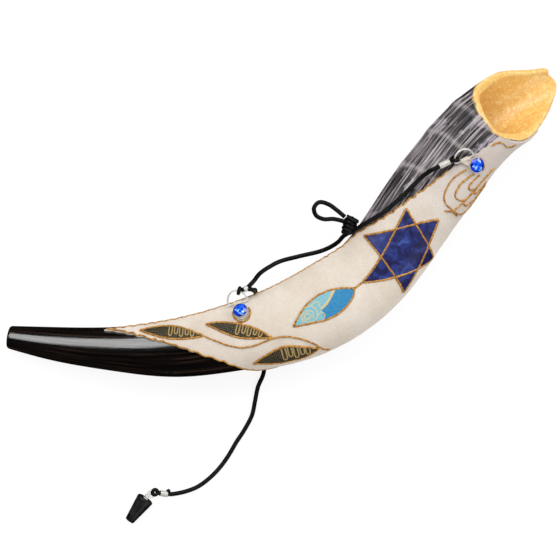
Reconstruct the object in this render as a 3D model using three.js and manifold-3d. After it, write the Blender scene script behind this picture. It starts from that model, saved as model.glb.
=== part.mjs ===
// A shofar: a ram's horn blown as a trumpet, half covered in decorated leather. Two D-rings
// carry a cord, and a stopper for the mouthpiece hangs on a cord of its own.
// Millimetres, +Z up. The horn lies on its side on Z = 0, its mouth towards -X and its bell
// towards +X. A place on the horn is given as s, the length along its centre line from the
// mouth, and phi, the angle around it: 90 degrees is on top, 0 on the side towards +Y.
// On the leather the angle is often given as w, the length around the horn from its top line.

import * as THREE from 'three';
import { mergeVertices } from 'three/addons/utils/BufferGeometryUtils.js';
import { TessellateModifier } from 'three/addons/modifiers/TessellateModifier.js';
import Module from 'manifold-3d';

const wasm = await Module();
wasm.setup();

// ---- driving dimensions ----

const GAP = 0.3;                 // clearance between neighbouring pieces

// Horn centre line and section: x, y, z, half width, half height, share of rounded triangle.
const HORN = [
  [-187.0, -78.4, 7.4, 7.8, 7.4, 0.0],
  [-158.0, -82.6, 11.8, 11.3, 10.6, 0.0],
  [-115.0, -86.3, 17.3, 15.0, 14.0, 0.01],
  [-72.4, -86.0, 21.8, 19.3, 17.5, 0.02],
  [-29.8, -78.3, 25.4, 22.4, 20.0, 0.03],
  [11.1, -65.7, 26.4, 26.2, 22.0, 0.04],
  [37.6, -51.7, 25.4, 27.0, 23.0, 0.05],
  [59.7, -34.2, 24.8, 26.2, 23.5, 0.05],
  [84.9, -0.4, 25.1, 26.1, 23.5, 0.06],
  [110.0, 34.7, 24.9, 25.8, 23.0, 0.07],
  [138.2, 66.9, 24.9, 24.6, 22.5, 0.08],
  [162.0, 82.8, 26.4, 24.1, 22.5, 0.09],
  [187.0, 94.9, 29.5, 24.3, 22.5, 0.09],
];
const RIM_STATION = 11;          // row of HORN at which the bell nominally ends
// How far the slanting rim reaches past that row, every 30 degrees around from phi = 0.
const RIM_REACH = [-2.5, -19.5, -24.5, -26.8, -25.8, -15.3, -1, 9.8, 18, 25.8, 21, 9];
const RIM_BLEND = 110;           // length over which the surface leans towards the rim
const RIM_TOOTH = { height: 4.2, angle: 302, spread: 8 };
const MOUTH_CUP = { radius: 5.6, depth: 20 };
const BORE_RADIUS = 4.2;
const HOLLOW_START = 180;        // the natural hollow widens from here to the bell
const BELL_WALL = 5;
const HOLLOW_SAG = 1.5;          // the hollow lies lower than the outside at the bell
const BELL_WIDENING = 0.85;      // below 1 the hollow opens sooner
const END_CHAMFER = 0.5;         // mouth end, outside
const RIM_ROUNDING = { outside: 1.3, inside: 1.2, face: 0.2 };
const HORN_GRID = { around: 32, outside: 34, inside: 18 };

const LEATHER = { bottom: 0.5, top: 1.8, start: 66, end: 391, rows: 36, columns: 13 };
const COVER_LEAN = { length: 70, inset: 2 };   // its last stretch ends short of the rim
// Edges of the leather: s, phi in degrees.
const UPPER_EDGE = [
  [60, 34], [72, 30], [86, 24], [120, 18], [160, 15], [200, 15], [240, 18], [258, 24], [278, 33],
  [295, 52], [312, 67], [333, 83], [348, 93], [360, 104], [374, 114], [391, 120], [410, 126],
];
const LOWER_EDGE = [
  [60, 34], [72, 40], [80, 46], [94, 61], [108, 75], [122, 90], [134, 107], [146, 125],
  [157, 147], [170, 173], [185, 189], [220, 196], [300, 197], [391, 190], [410, 189],
];

const LAYER = { bottom: 2.2, top: 2.8 };   // appliqués and gilt lines lie on the leather
const GILT_WIDTH = 1.8;
const MITRE_LIMIT = 2.4;         // longest corner of a line, in half widths
const FACET = 6;                 // longest edge of a flat body bent onto the horn
const STAR_TIPS = [[309.6, -6.2], [316.1, 15.2], [292.1, 30.7], [265.3, 26.6], [251.3, 1], [277.8, -19]];
const LEAVES = {
  turquoise_leaf: {
    tips: [[199.3, 2.2], [244.8, 0.7]],
    upper: [[208.3, -5.1], [219.3, -7.9], [230.3, -6.9], [238.3, -3.6]],
    lower: [[209.3, 5.6], [219.3, 7.9], [230.3, 7.7], [239.3, 5.1]],
  },
  dark_leaf_1: {
    tips: [[93, -12.9], [138.2, -6]],
    upper: [[100.5, -14.9], [109, -15.8], [119, -14.9], [129.5, -10.9]],
    lower: [[101.7, -10.1], [110, -7.8], [119.5, -6.2], [129, -5.6]],
  },
  dark_leaf_2: {
    tips: [[141.3, -12.9], [180.5, 3.4]],
    upper: [[149.3, -12.6], [157.4, -10.6], [165.8, -7.3], [174, -2.6]],
    lower: [[148.3, -8.2], [155.2, -3.5], [163.2, 0.6], [172.5, 3]],
  },
  dark_leaf_3: {
    tips: [[165.8, 19], [203.6, 23.9]],
    upper: [[172, 16.3], [180.1, 13.7], [188.1, 13], [197.2, 16.6]],
    lower: [[173, 21.3], [181, 23.9], [190.1, 25.5], [198.1, 25.8]],
  },
};
const VINE = [
  [141.8, -3.8], [148.2, 0.1], [155.1, 4], [161.1, 6.3], [166.1, 7.1], [173.1, 6.9],
  [180.2, 6], [187.2, 6.4], [194.2, 8.9], [200.2, 13.1], [205.2, 18.6], [208.7, 25.1],
  [212.2, 29.3],
];
const VINE_WIDTH = 1.3;
const EDGE_LINE = { inset: 1.3, width: 1.5, step: 6 };
// Stretch of each edge that has a gilt line, in s.
const EDGE_SPANS = { upper: [78, 348], lower: [78, 388] };
const BELL_LINE = [[379.1, 13], [384.8, 14.4], [388, 17], [388.2, 20], [392, 22.8], [396.5, 24]];
const MENORAH = {
  stem: [[325.8, 19.7], [341.7, 22.9], [355.6, 24.1], [369.1, 25.5]],
  base: [[322.8, 14.8], [325.6, 19.7], [325.4, 25.2]],
  arms: [
    [[354.6, 11], [349.4, 8.8], [342.7, 7.3], [336.3, 7.7], [331.5, 9], [328.8, 10.8],
      [327.3, 13], [326.8, 16.5], [326.6, 19.7]],
    [[355.6, 16.2], [351.8, 15], [345.2, 13.3], [339.4, 13.4], [335.5, 14.8], [334.5, 16.7],
      [335.6, 20.2], [338, 22.1]],
    [[357.5, 19.4], [353.4, 18.8], [347.5, 18.1], [345.2, 18.9], [345.2, 20.9], [347.7, 23.3]],
  ],
  lean: 0.16,                    // of the line the arms are mirrored in, w for each s
  squeeze: 0.8,                  // reach of the mirrored arms over the drawn ones
  stemWidth: 1.4,
  armWidth: 1.3,
};

const RING = { width: 13.4, depth: 9, corner: 1.2, wire: 0.5 };
const LOOP = { radius: 1.85, tube: 1.05 };
const RING_HEIGHT = 3.6;         // hinge axis above the bare horn
const TAB = { thickness: 1.4, eyeWall: 0.6, width: 5.6, stoneRadius: 4.6, facet: 4, reach: 16 };
const SURROUND = { radius: 5.6, line: 1.2 };
const STONE = { bottom: 1.3, girdle: 4.9, table: 2.9, height: 2.3 };
const SETTING = { radius: 4.2, height: 1, shank: 1.2 };
// s and w of each hinge and stone, turn of the bar from the centre line, lean of the ring
// from the leather, place of the cord's eye on the bow, side and length of the crimp, and the
// arc of the gilt line around the stone. Angles in degrees.
const HANGERS = {
  mouth: {
    hinge: [166.3, -21.4],
    stone: [167, -14.9],
    turn: 0,
    lean: 62,
    eyeAt: 62,
    crimpSide: 1,
    crimpLength: 3.6,
    surround: [-118, 118],
  },
  bell: {
    hinge: [358.7, 5.7],
    stone: [361, 13],
    turn: 24,
    lean: 38,
    eyeAt: 156,
    crimpSide: -1,
    crimpLength: 8.5,
    surround: [25, 118],
  },
};
const CRIMP_RADIUS = 2.0;

const CORD_RADIUS = 1.5;
const CORD_SIDES = 8;
const CORD_STEP = 7;             // length of one straight piece of a cord's tube
const CARRY_CORD_MOUTH = [
  [-21.7, -42.8, 42.6], [-19.4, -40.4, 41.4], [-14.9, -34.8, 35], [-8, -30, 29.2],
  [-1.3, -26.6, 25.4], [12.2, -23, 22], [25.7, -19.8, 23.2], [32.6, -17, 26],
  [37.9, -13.6, 29.8], [41.4, -9.8, 33.8],
];
const CARRY_CORD_BELL = [
  [51.2, -4.2, 41.9], [55, -1.8, 44.3], [60.4, 1.4, 46.1], [67.2, 5.5, 47.6],
  [74, 11, 47.1], [80.9, 17.2, 47.6], [87.5, 23.6, 47.9], [93.6, 29.6, 49], [98.5, 33.3, 51.4],
  [101.5, 35, 52.8], [104.9, 36.6, 53.3],
];
const KNOT = { centre: [45.6, -2.6, 38], axis: [0.3, 1, 0.15], length: 14.5, radius: 4.9 };
const BOW_LOOP = [
  [42.4, 3.4, 39.2], [37.4, 7.6, 40.2], [31, 12, 40.6], [25, 13.2, 40.2], [21.6, 9.4, 39.4],
  [23, 4.4, 38.4], [28, 1.9, 38], [34.4, 2, 37.8], [38.8, 1.2, 37.8],
];
const STOPPER_CORD = [
  [-20.3, -45.7, 42.6], [-19.4, -46.3, 40.4], [-18.8, -46.3, 36], [-18.3, -46, 31],
  [-18, -47.8, 25], [-17.8, -49.6, 18], [-17.2, -52.8, 10.5], [-16.4, -57.6, 5.2], [-15.4, -64, 2.2],
  [-14, -76, 1.6], [-12.4, -92, 1.6], [-12.6, -103, 1.6], [-16.5, -112.8, 1.6],
  [-18.5, -122.4, 1.6], [-20.6, -132.1, 1.6], [-26.1, -142.7, 1.6], [-31.3, -150.6, 1.6],
  [-37.4, -160.9, 1.6], [-43.6, -169.2, 1.6], [-50.5, -176, 1.6], [-57.7, -181.2, 1.6],
  [-65.3, -184.3, 1.6], [-72.5, -186, 1.6], [-77.4, -186.6, 1.9],
];
const STOPPER = { wide: [-93.5, -189.1, 6.2], narrow: [-104.8, -204.6, 3.5], radii: [5.95, 3.3] };
const SCREW_EYE = { radius: 1.6, wire: 0.45, reach: 2.7 };
const STOPPER_LOOP = [-87.2, -184.9, 5.6];
const JUMP_RING = { radius: 2.6, wire: 0.45 };
const STOPPER_CRIMP_END = [-78.2, -186.5, 2.1];

// ---- materials ----

const finish = (color, roughness, metalness = 0) => new THREE.MeshStandardMaterial({
  color,
  roughness,
  metalness,
});
const PAINT = {
  horn: finish(0x1c1815, 0.25),
  leather: finish(0xe6dccb, 0.8),
  gilt: finish(0xb98f45, 0.45, 0.5),
  lapis: finish(0x1f2a66, 0.55),
  turquoise: finish(0x3a96c8, 0.5),
  printed: finish(0x4a4230, 0.75),
  steel: finish(0xc9c8c2, 0.25, 1),
  crystal: finish(0x1a3fd0, 0.08),
  cord: finish(0x0c0c0c, 0.55),
  plug: finish(0x141414, 0.45),
};

// ---- horn surface ----

// Natural cubic spline through the values at the knots.
function naturalSpline(knots, values) {
  const last = knots.length - 1;
  const bend = new Array(last + 1).fill(0);
  const carry = new Array(last + 1).fill(0);
  for (let i = 1; i < last; i += 1) {
    const before = knots[i] - knots[i - 1];
    const after = knots[i + 1] - knots[i];
    const slopeChange = (values[i + 1] - values[i]) / after - (values[i] - values[i - 1]) / before;
    const pivot = 2 * (before + after) - before * carry[i - 1];
    carry[i] = after / pivot;
    bend[i] = (6 * slopeChange - before * bend[i - 1]) / pivot;
  }
  for (let i = last - 1; i > 0; i -= 1) bend[i] -= carry[i] * bend[i + 1];
  return (x) => {
    let i = 0;
    while (i < last - 1 && x > knots[i + 1]) i += 1;
    const step = knots[i + 1] - knots[i];
    const a = (knots[i + 1] - x) / step;
    const b = (x - knots[i]) / step;
    const curve = (a ** 3 - a) * bend[i] + (b ** 3 - b) * bend[i + 1];
    return a * values[i] + b * values[i + 1] + (curve * step * step) / 6;
  };
}

const stations = [0];
for (let i = 1; i < HORN.length; i += 1) {
  const chord = Math.hypot(...[0, 1, 2].map((axis) => HORN[i][axis] - HORN[i - 1][axis]));
  stations.push(stations[i - 1] + chord);
}
const RIM_LENGTH = stations[RIM_STATION];
const [centreX, centreY, centreZ, halfWidth, halfHeight, keel] = HORN[0].map(
  (_, column) => naturalSpline(stations, HORN.map((row) => row[column])),
);

const UP = new THREE.Vector3(0, 0, 1);
const radians = THREE.MathUtils.degToRad;
const clamp = THREE.MathUtils.clamp;
const vector = (array) => new THREE.Vector3(...array);

function centreFrame(s) {
  const centre = new THREE.Vector3(centreX(s), centreY(s), centreZ(s));
  const ahead = new THREE.Vector3(centreX(s + 0.5), centreY(s + 0.5), centreZ(s + 0.5));
  const behind = new THREE.Vector3(centreX(s - 0.5), centreY(s - 0.5), centreZ(s - 0.5));
  const along = ahead.sub(behind).normalize();
  const across = new THREE.Vector3().crossVectors(UP, along).normalize();
  const up = new THREE.Vector3().crossVectors(along, across);
  return { centre, along, across, up };
}

function sectionPoint(s, phi, width, height, triangle) {
  const { centre, across, up } = centreFrame(s);
  const round = 1 + triangle * Math.cos(3 * (phi + Math.PI / 2));
  return centre
    .addScaledVector(across, width * round * Math.cos(phi))
    .addScaledVector(up, height * round * Math.sin(phi));
}

// A point of the outer surface, drawn in by shrink within its own section.
function hornPoint(s, phi, shrink = 0) {
  return sectionPoint(s, phi, halfWidth(s) - shrink, halfHeight(s) - shrink, keel(s));
}

function hornNormal(s, phi) {
  const lengthwise = hornPoint(s + 0.5, phi).sub(hornPoint(s - 0.5, phi));
  const around = hornPoint(s, phi + 0.01).sub(hornPoint(s, phi - 0.01));
  return around.cross(lengthwise).normalize();
}

const meanRadius = (s) => (halfWidth(s) + halfHeight(s)) / 2;
const angleAt = (s, w) => Math.PI / 2 + w / meanRadius(s);
const widthAt = (s, phi) => (phi - Math.PI / 2) * meanRadius(s);

// A point at a height over the horn, from its s and phi, or from its s and w.
function skinPoint(s, phi, height) {
  return hornPoint(s, phi).addScaledVector(hornNormal(s, phi), height);
}
const leatherPoint = (s, w, height) => skinPoint(s, angleAt(s, w), height);

function rimReach(phi) {
  const turn = THREE.MathUtils.euclideanModulo(THREE.MathUtils.radToDeg(phi), 360) / 30;
  const start = Math.floor(turn);
  const [p, q, r, t] = [-1, 0, 1, 2].map((i) => RIM_REACH[(start + i + 12) % 12]);
  const f = turn - start;
  const smooth = q + ((r - p) * f + (2 * p - 5 * q + 4 * r - t) * f * f
    + (3 * q - p - 3 * r + t) * f ** 3) / 2;
  const off = (turn * 30 - RIM_TOOTH.angle) / RIM_TOOTH.spread;
  return smooth + RIM_TOOTH.height * Math.exp(-off * off);
}

// Nominal length s leans towards the rim over the last part of the horn.
function leaning(s, phi) {
  const share = clamp((s - RIM_LENGTH + RIM_BLEND) / RIM_BLEND, 0, 1);
  return s + rimReach(phi) * share * share * (3 - 2 * share);
}

function hollowPoint(s, phi) {
  const widening = clamp((s - HOLLOW_START) / (RIM_LENGTH - HOLLOW_START), 0, 1);
  const share = widening ** BELL_WIDENING;
  const cup = clamp(1 - s / MOUTH_CUP.depth, 0, 1) ** 1.5;
  const bore = BORE_RADIUS + (MOUTH_CUP.radius - BORE_RADIUS) * cup;
  const width = THREE.MathUtils.lerp(bore, halfWidth(s) - BELL_WALL, share);
  const height = THREE.MathUtils.lerp(bore, halfHeight(s) - BELL_WALL, share);
  const sag = centreFrame(s).up.multiplyScalar(-HOLLOW_SAG * share);
  return sectionPoint(s, phi, width, height, keel(s) * share).add(sag);
}

// ---- solids ----

// Leaves only merged positions, with the faces turned outwards.
function closed(source) {
  const bare = new THREE.BufferGeometry();
  bare.setAttribute('position', source.getAttribute('position').clone());
  bare.setIndex(source.getIndex());
  const geometry = mergeVertices(bare, 1e-4);
  const position = geometry.getAttribute('position');
  const corners = geometry.getIndex().array;
  const [a, b, c] = [0, 1, 2].map(() => new THREE.Vector3());
  let volume = 0;
  for (let i = 0; i < corners.length; i += 3) {
    a.fromBufferAttribute(position, corners[i]);
    b.fromBufferAttribute(position, corners[i + 1]);
    c.fromBufferAttribute(position, corners[i + 2]);
    volume += a.dot(b.cross(c));
  }
  if (volume < 0) {
    for (let i = 0; i < corners.length; i += 3) {
      [corners[i + 1], corners[i + 2]] = [corners[i + 2], corners[i + 1]];
    }
  }
  geometry.computeVertexNormals();
  return geometry;
}

// A body from a grid of points whose columns close on themselves. The rows close too, or each
// end is a flat strip between the columns' first half and second half.
function gridBody(rows, columns, pointAt, ring) {
  const positions = [];
  const corners = [];
  for (let i = 0; i < rows; i += 1) {
    for (let j = 0; j < columns; j += 1) positions.push(...pointAt(i, j).toArray());
  }
  const quad = (a, b, c, d) => corners.push(a, b, c, a, c, d);
  for (let i = 0; i < (ring ? rows : rows - 1); i += 1) {
    const next = (i + 1) % rows;
    for (let j = 0; j < columns; j += 1) {
      const beside = (j + 1) % columns;
      const [a, b] = [i * columns + j, i * columns + beside];
      quad(a, b, next * columns + beside, next * columns + j);
    }
  }
  for (let j = 0; j < columns / 2 - 1 && !ring; j += 1) {
    const far = (rows - 1) * columns;
    quad(j, columns - 1 - j, columns - 2 - j, j + 1);
    quad(far + j, far + j + 1, far + columns - 2 - j, far + columns - 1 - j);
  }
  const geometry = new THREE.BufferGeometry();
  geometry.setAttribute('position', new THREE.Float32BufferAttribute(positions, 3));
  geometry.setIndex(corners);
  return closed(geometry);
}

function toSolid(geometry) {
  const merged = closed(geometry);
  return new wasm.Manifold(new wasm.Mesh({
    numProp: 3,
    vertProperties: Float32Array.from(merged.getAttribute('position').array),
    triVerts: Uint32Array.from(merged.getIndex().array),
  }));
}

function fromSolid(solid) {
  const mesh = solid.getMesh();
  const geometry = new THREE.BufferGeometry();
  geometry.setAttribute('position', new THREE.BufferAttribute(mesh.vertProperties, 3));
  geometry.setIndex(new THREE.BufferAttribute(mesh.triVerts, 1));
  return geometry;
}

// Bends a flat body, drawn with x = w, y = s and z = height, onto the horn.
function onHorn(flat, facet = FACET) {
  const geometry = new TessellateModifier(facet, 8).modify(flat);
  const position = geometry.getAttribute('position');
  for (let i = 0; i < position.count; i += 1) {
    const point = leatherPoint(position.getY(i), position.getX(i), position.getZ(i));
    position.setXYZ(i, point.x, point.y, point.z);
  }
  return closed(geometry);
}

function flatLayer(shape, bottom = LAYER.bottom, top = LAYER.top) {
  const options = { depth: top - bottom, bevelEnabled: false, curveSegments: 6 };
  return new THREE.ExtrudeGeometry(shape, options).translate(0, 0, bottom);
}

const plan = (pairs) => pairs.map(([s, w]) => new THREE.Vector2(w, s));
const curveThrough = (points, count) => new THREE.SplineCurve(points).getSpacedPoints(count);

// A line moved sideways by a distance, with mitred corners; on a closed outline that runs
// counter-clockwise a positive distance is outwards.
function besideLine(points, distance, isClosed) {
  const count = points.length;
  return points.map((point, i) => {
    const before = isClosed ? points[(i + count - 1) % count] : points[Math.max(i - 1, 0)];
    const after = isClosed ? points[(i + 1) % count] : points[Math.min(i + 1, count - 1)];
    const arriving = point.clone().sub(before);
    const leaving = after.clone().sub(point);
    if (arriving.length() === 0) arriving.copy(leaving);
    if (leaving.length() === 0) leaving.copy(arriving);
    const out = (run) => new THREE.Vector2(run.y, -run.x).normalize();
    const sum = out(arriving).add(out(leaving)).normalize();
    const mitre = Math.min(1 / sum.dot(out(leaving)), MITRE_LIMIT);
    return point.clone().addScaledVector(sum, distance * mitre);
  });
}

function anticlockwise(points) {
  return THREE.ShapeUtils.area(points) < 0 ? [...points].reverse() : points;
}

function ribbonSides(line, width, isClosed) {
  return [besideLine(line, width / 2, isClosed), besideLine(line, -width / 2, isClosed)];
}

function ribbonShape(pairs, count, width) {
  const [left, right] = ribbonSides(curveThrough(plan(pairs), count), width, false);
  return new THREE.Shape([...left, ...right.reverse()]);
}

// A gilt line laid on the leather along a flat line.
function ribbonBody(line, width, isClosed) {
  const [left, right] = ribbonSides(line, width, isClosed);
  const pointAt = (i, j) => {
    const side = j === 0 || j === 3 ? left[i] : right[i];
    return leatherPoint(side.y, side.x, j < 2 ? LAYER.bottom : LAYER.top);
  };
  return gridBody(line.length, 4, pointAt, isClosed);
}

const giltLine = (pairs, count, width) => ribbonBody(curveThrough(plan(pairs), count), width, false);

function joined(shapes) {
  return fromSolid(shapes.map((shape) => toSolid(flatLayer(shape))).reduce((a, b) => a.add(b)));
}

function leafOutline({ tips, upper, lower }) {
  const side = (pairs) => curveThrough(plan(pairs), 9);
  const out = side([tips[0], ...upper, tips[1]]);
  const back = side([tips[1], ...[...lower].reverse(), tips[0]]);
  return anticlockwise([...out.slice(0, -1), ...back.slice(0, -1)]);
}

const fillShape = (outline) => new THREE.Shape(besideLine(outline, -GILT_WIDTH / 2 - GAP, true));

function cord(points, radius = CORD_RADIUS) {
  const path = new THREE.CatmullRomCurve3(points.map(vector), false, 'centripetal');
  const section = new THREE.Shape();
  section.setFromPoints(Array.from({ length: CORD_SIDES }, (_, i) => {
    const angle = (2 * Math.PI * i) / CORD_SIDES;
    return new THREE.Vector2(radius * Math.cos(angle), radius * Math.sin(angle));
  }));
  const steps = Math.round(path.getLength() / CORD_STEP);
  return closed(new THREE.ExtrudeGeometry(section, { steps, extrudePath: path }));
}

function lathe(profile, segments) {
  return closed(new THREE.LatheGeometry(profile.map(([r, z]) => new THREE.Vector2(r, z)), segments));
}

const ringBody = (radius, tube) => closed(new THREE.TorusGeometry(radius, tube, 7, 16));

// A coil of wire wound round the cord's end, as one ribbed body along +Y from 0 to length.
function crimpBody(length, turns) {
  const pitch = length / turns;
  const profile = [[0, 0]];
  for (let i = 0; i < turns; i += 1) {
    profile.push([CRIMP_RADIUS - 0.35, pitch * i], [CRIMP_RADIUS, pitch * (i + 0.3)]);
    profile.push([CRIMP_RADIUS, pitch * (i + 0.7)]);
  }
  profile.push([CRIMP_RADIUS - 0.35, length], [0, length]);
  return lathe(profile, 10);
}

// ---- assembly ----

const group = new THREE.Group();

function add(name, geometry, material, matrix) {
  const mesh = new THREE.Mesh(geometry, material);
  mesh.name = name;
  if (matrix) matrix.decompose(mesh.position, mesh.quaternion, mesh.scale);
  group.add(mesh);
  return mesh;
}

// Places a body made along +Y so that it starts at one point and runs towards another.
function aimed(from, to) {
  const turn = new THREE.Quaternion().setFromUnitVectors(
    new THREE.Vector3(0, 1, 0),
    to.clone().sub(from).normalize(),
  );
  return new THREE.Matrix4().compose(from, turn, new THREE.Vector3(1, 1, 1));
}

// Places a body made in the XY plane so that its plane holds two directions.
function inPlane(origin, first, second) {
  const x = first.clone().normalize();
  const z = x.clone().cross(second).normalize();
  const y = z.clone().cross(x);
  return new THREE.Matrix4().makeBasis(x, y, z).setPosition(origin);
}

function buildHorn() {
  const { around, outside, inside } = HORN_GRID;
  const lip = RIM_ROUNDING.outside;
  const profile = [];
  for (let i = 0; i <= outside; i += 1) {
    const s = lip + ((RIM_LENGTH - 2 * lip) * i) / outside;
    profile.push((phi) => hornPoint(leaning(s, phi), phi));
  }
  profile.push((phi) => hornPoint(leaning(RIM_LENGTH, phi), phi, lip));
  profile.push((phi) => {
    const edge = leaning(RIM_LENGTH, phi);
    return hollowPoint(edge, phi).lerp(hornPoint(edge, phi), RIM_ROUNDING.face);
  });
  const deepest = RIM_LENGTH - RIM_ROUNDING.inside;
  for (let i = 0; i <= inside; i += 1) {
    const s = deepest - ((deepest - MOUTH_CUP.depth) * i) / inside;
    profile.push((phi) => hollowPoint(leaning(s, phi), phi));
  }
  [0.65, 0.35, 0.1, 0].forEach((share) => {
    profile.push((phi) => hollowPoint(MOUTH_CUP.depth * share, phi));
  });
  profile.push((phi) => hornPoint(0, phi, END_CHAMFER));
  const pointAt = (i, j) => profile[j](Math.PI / 2 + (2 * Math.PI * i) / around);
  add('horn', gridBody(around, profile.length, pointAt, true), PAINT.horn);
}

const edgeSpline = (edge) => naturalSpline(
  edge.map(([s]) => s),
  edge.map(([, degrees]) => radians(degrees)),
);
const upperEdge = edgeSpline(UPPER_EDGE);
const lowerEdge = edgeSpline(LOWER_EDGE);

// A place on the leather from its nominal s and its share of the way between the edges.
function coverPlace(s, share) {
  const phi = THREE.MathUtils.lerp(upperEdge(s), lowerEdge(s), share);
  const late = clamp((s - LEATHER.end + COVER_LEAN.length) / COVER_LEAN.length, 0, 1);
  const toRim = RIM_LENGTH + rimReach(phi) - COVER_LEAN.inset - LEATHER.end;
  return { s: s + toRim * late * late * (3 - 2 * late), phi };
}

function buildLeather() {
  const { rows, columns, start, end, bottom, top } = LEATHER;
  const pointAt = (i, j) => {
    const isTop = j < columns;
    const share = (isTop ? j : 2 * columns - 1 - j) / (columns - 1);
    const place = coverPlace(start + ((end - start) * i) / (rows - 1), share);
    return skinPoint(place.s, place.phi, isTop ? top : bottom);
  };
  add('leather_cover', gridBody(rows, 2 * columns, pointAt, false), PAINT.leather);
}

// A gilt line beside an edge of the leather, from one s to another.
function buildEdgeLine(name, edge, inwards, [from, to]) {
  const count = Math.round((to - from) / EDGE_LINE.step);
  const line = [];
  for (let i = 0; i <= count; i += 1) {
    const s = from + ((to - from) * i) / count;
    line.push([s, widthAt(s, edge(s)) + inwards]);
  }
  add(name, ribbonBody(plan(line), EDGE_LINE.width, false), PAINT.gilt);
}

function crossing([a, b], [c, d]) {
  const along = b.clone().sub(a);
  const other = d.clone().sub(c);
  const share = c.clone().sub(a).cross(other) / along.cross(other);
  return a.clone().addScaledVector(along, share);
}

// Two triangles laid over each other: six points and a hexagon, set in one gilt frame.
function buildStar() {
  const tips = plan(STAR_TIPS);
  const side = (i) => [tips[i % 6], tips[(i + 2) % 6]];
  const inner = tips.map((_, i) => crossing(side(i), side(i + 5)));
  const outline = tips.flatMap((tip, i) => [tip, inner[i]]);
  const points = tips.map((tip, i) => anticlockwise([inner[(i + 5) % 6], tip, inner[i]]));
  const centre = anticlockwise(inner);
  const frame = new THREE.Shape(besideLine(anticlockwise(outline), GILT_WIDTH / 2, true));
  [...points, centre].forEach((hole) => {
    frame.holes.push(new THREE.Path(besideLine(hole, -GILT_WIDTH / 2, true)));
  });
  add('star_gilt', onHorn(flatLayer(frame)), PAINT.gilt);
  add('star_centre', onHorn(flatLayer(fillShape(centre))), PAINT.lapis);
  points.forEach((point, i) => {
    add(`star_point_${i + 1}`, onHorn(flatLayer(fillShape(point))), PAINT.lapis);
  });
}

function buildLeaves() {
  Object.entries(LEAVES).forEach(([name, leaf]) => {
    const outline = leafOutline(leaf);
    const paint = name === 'turquoise_leaf' ? PAINT.turquoise : PAINT.printed;
    add(name, onHorn(flatLayer(fillShape(outline))), paint);
    add(`${name}_gilt`, ribbonBody(outline, GILT_WIDTH, true), PAINT.gilt);
  });
  add('vine_gilt', giltLine(VINE, 20, VINE_WIDTH), PAINT.gilt);
}

function buildMenorah() {
  const { stem, base, arms, lean, squeeze, stemWidth, armWidth } = MENORAH;
  const middle = (s) => stem[0][1] + lean * (s - stem[0][0]);
  const opposite = ([s, w]) => [s, middle(s) + squeeze * (middle(s) - w)];
  const mirrored = arms.map((arm) => arm.map(opposite));
  const shapes = [ribbonShape(stem, 6, stemWidth), ribbonShape(base, 4, stemWidth)];
  [...arms, ...mirrored].forEach((arm) => shapes.push(ribbonShape(arm, 8, armWidth)));
  add('menorah_gilt', onHorn(joined(shapes), 5), PAINT.gilt);
}

// Outline of a D in the XY plane: the straight bar lies along X at Y = 0.
function dOutline() {
  const { width, depth, corner } = RING;
  const outline = [];
  for (let i = 0; i <= 4; i += 1) outline.push([(i / 4 - 0.5) * (width - 2 * corner), 0]);
  for (let i = 0; i <= 16; i += 1) {
    const angle = radians(-20 + (220 * i) / 16);
    const height = (depth - corner) * Math.sin(angle) + corner;
    const flare = Math.sin(angle) < 0 ? 1 + 0.1 * Math.sin(angle) : 1;
    outline.push([(width / 2) * Math.cos(angle) * flare, Math.max(height, 0.25 * corner)]);
  }
  return outline.map(([x, y]) => new THREE.Vector3(x, y, 0));
}

function ringWire() {
  const outline = dOutline();
  const count = outline.length;
  const pointAt = (i, j) => {
    const run = outline[(i + 1) % count].clone().sub(outline[(i + count - 1) % count]).normalize();
    const out = new THREE.Vector3(run.y, -run.x, 0);
    const angle = (2 * Math.PI * j) / 8;
    return outline[i].clone()
      .addScaledVector(out, RING.wire * Math.cos(angle))
      .addScaledVector(UP, RING.wire * Math.sin(angle));
  };
  return gridBody(count, 8, pointAt, true);
}

// The frame of a hanger: the middle of the bar, the bar's direction, and the ring's own.
function hangerFrame({ hinge, turn, lean }) {
  const [s, w] = hinge;
  const bar = [Math.cos(radians(turn)), Math.sin(radians(turn))];
  const place = (along, towardsStone, height = RING_HEIGHT) => leatherPoint(
    s + along * bar[0] - towardsStone * bar[1],
    w + along * bar[1] + towardsStone * bar[0],
    height,
  );
  const origin = place(0, 0);
  const axis = place(1, 0).sub(place(-1, 0)).normalize();
  const normal = hornNormal(s, angleAt(s, w));
  const away = normal.clone().cross(axis).normalize();
  if (away.dot(place(0, -1).sub(origin)) < 0) away.negate();
  const upright = away.clone().cross(axis).normalize();
  if (upright.dot(normal) < 0) upright.negate();
  const reach = away.multiplyScalar(Math.cos(radians(lean)))
    .addScaledVector(upright, Math.sin(radians(lean)));
  return { origin, axis, reach };
}

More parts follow.
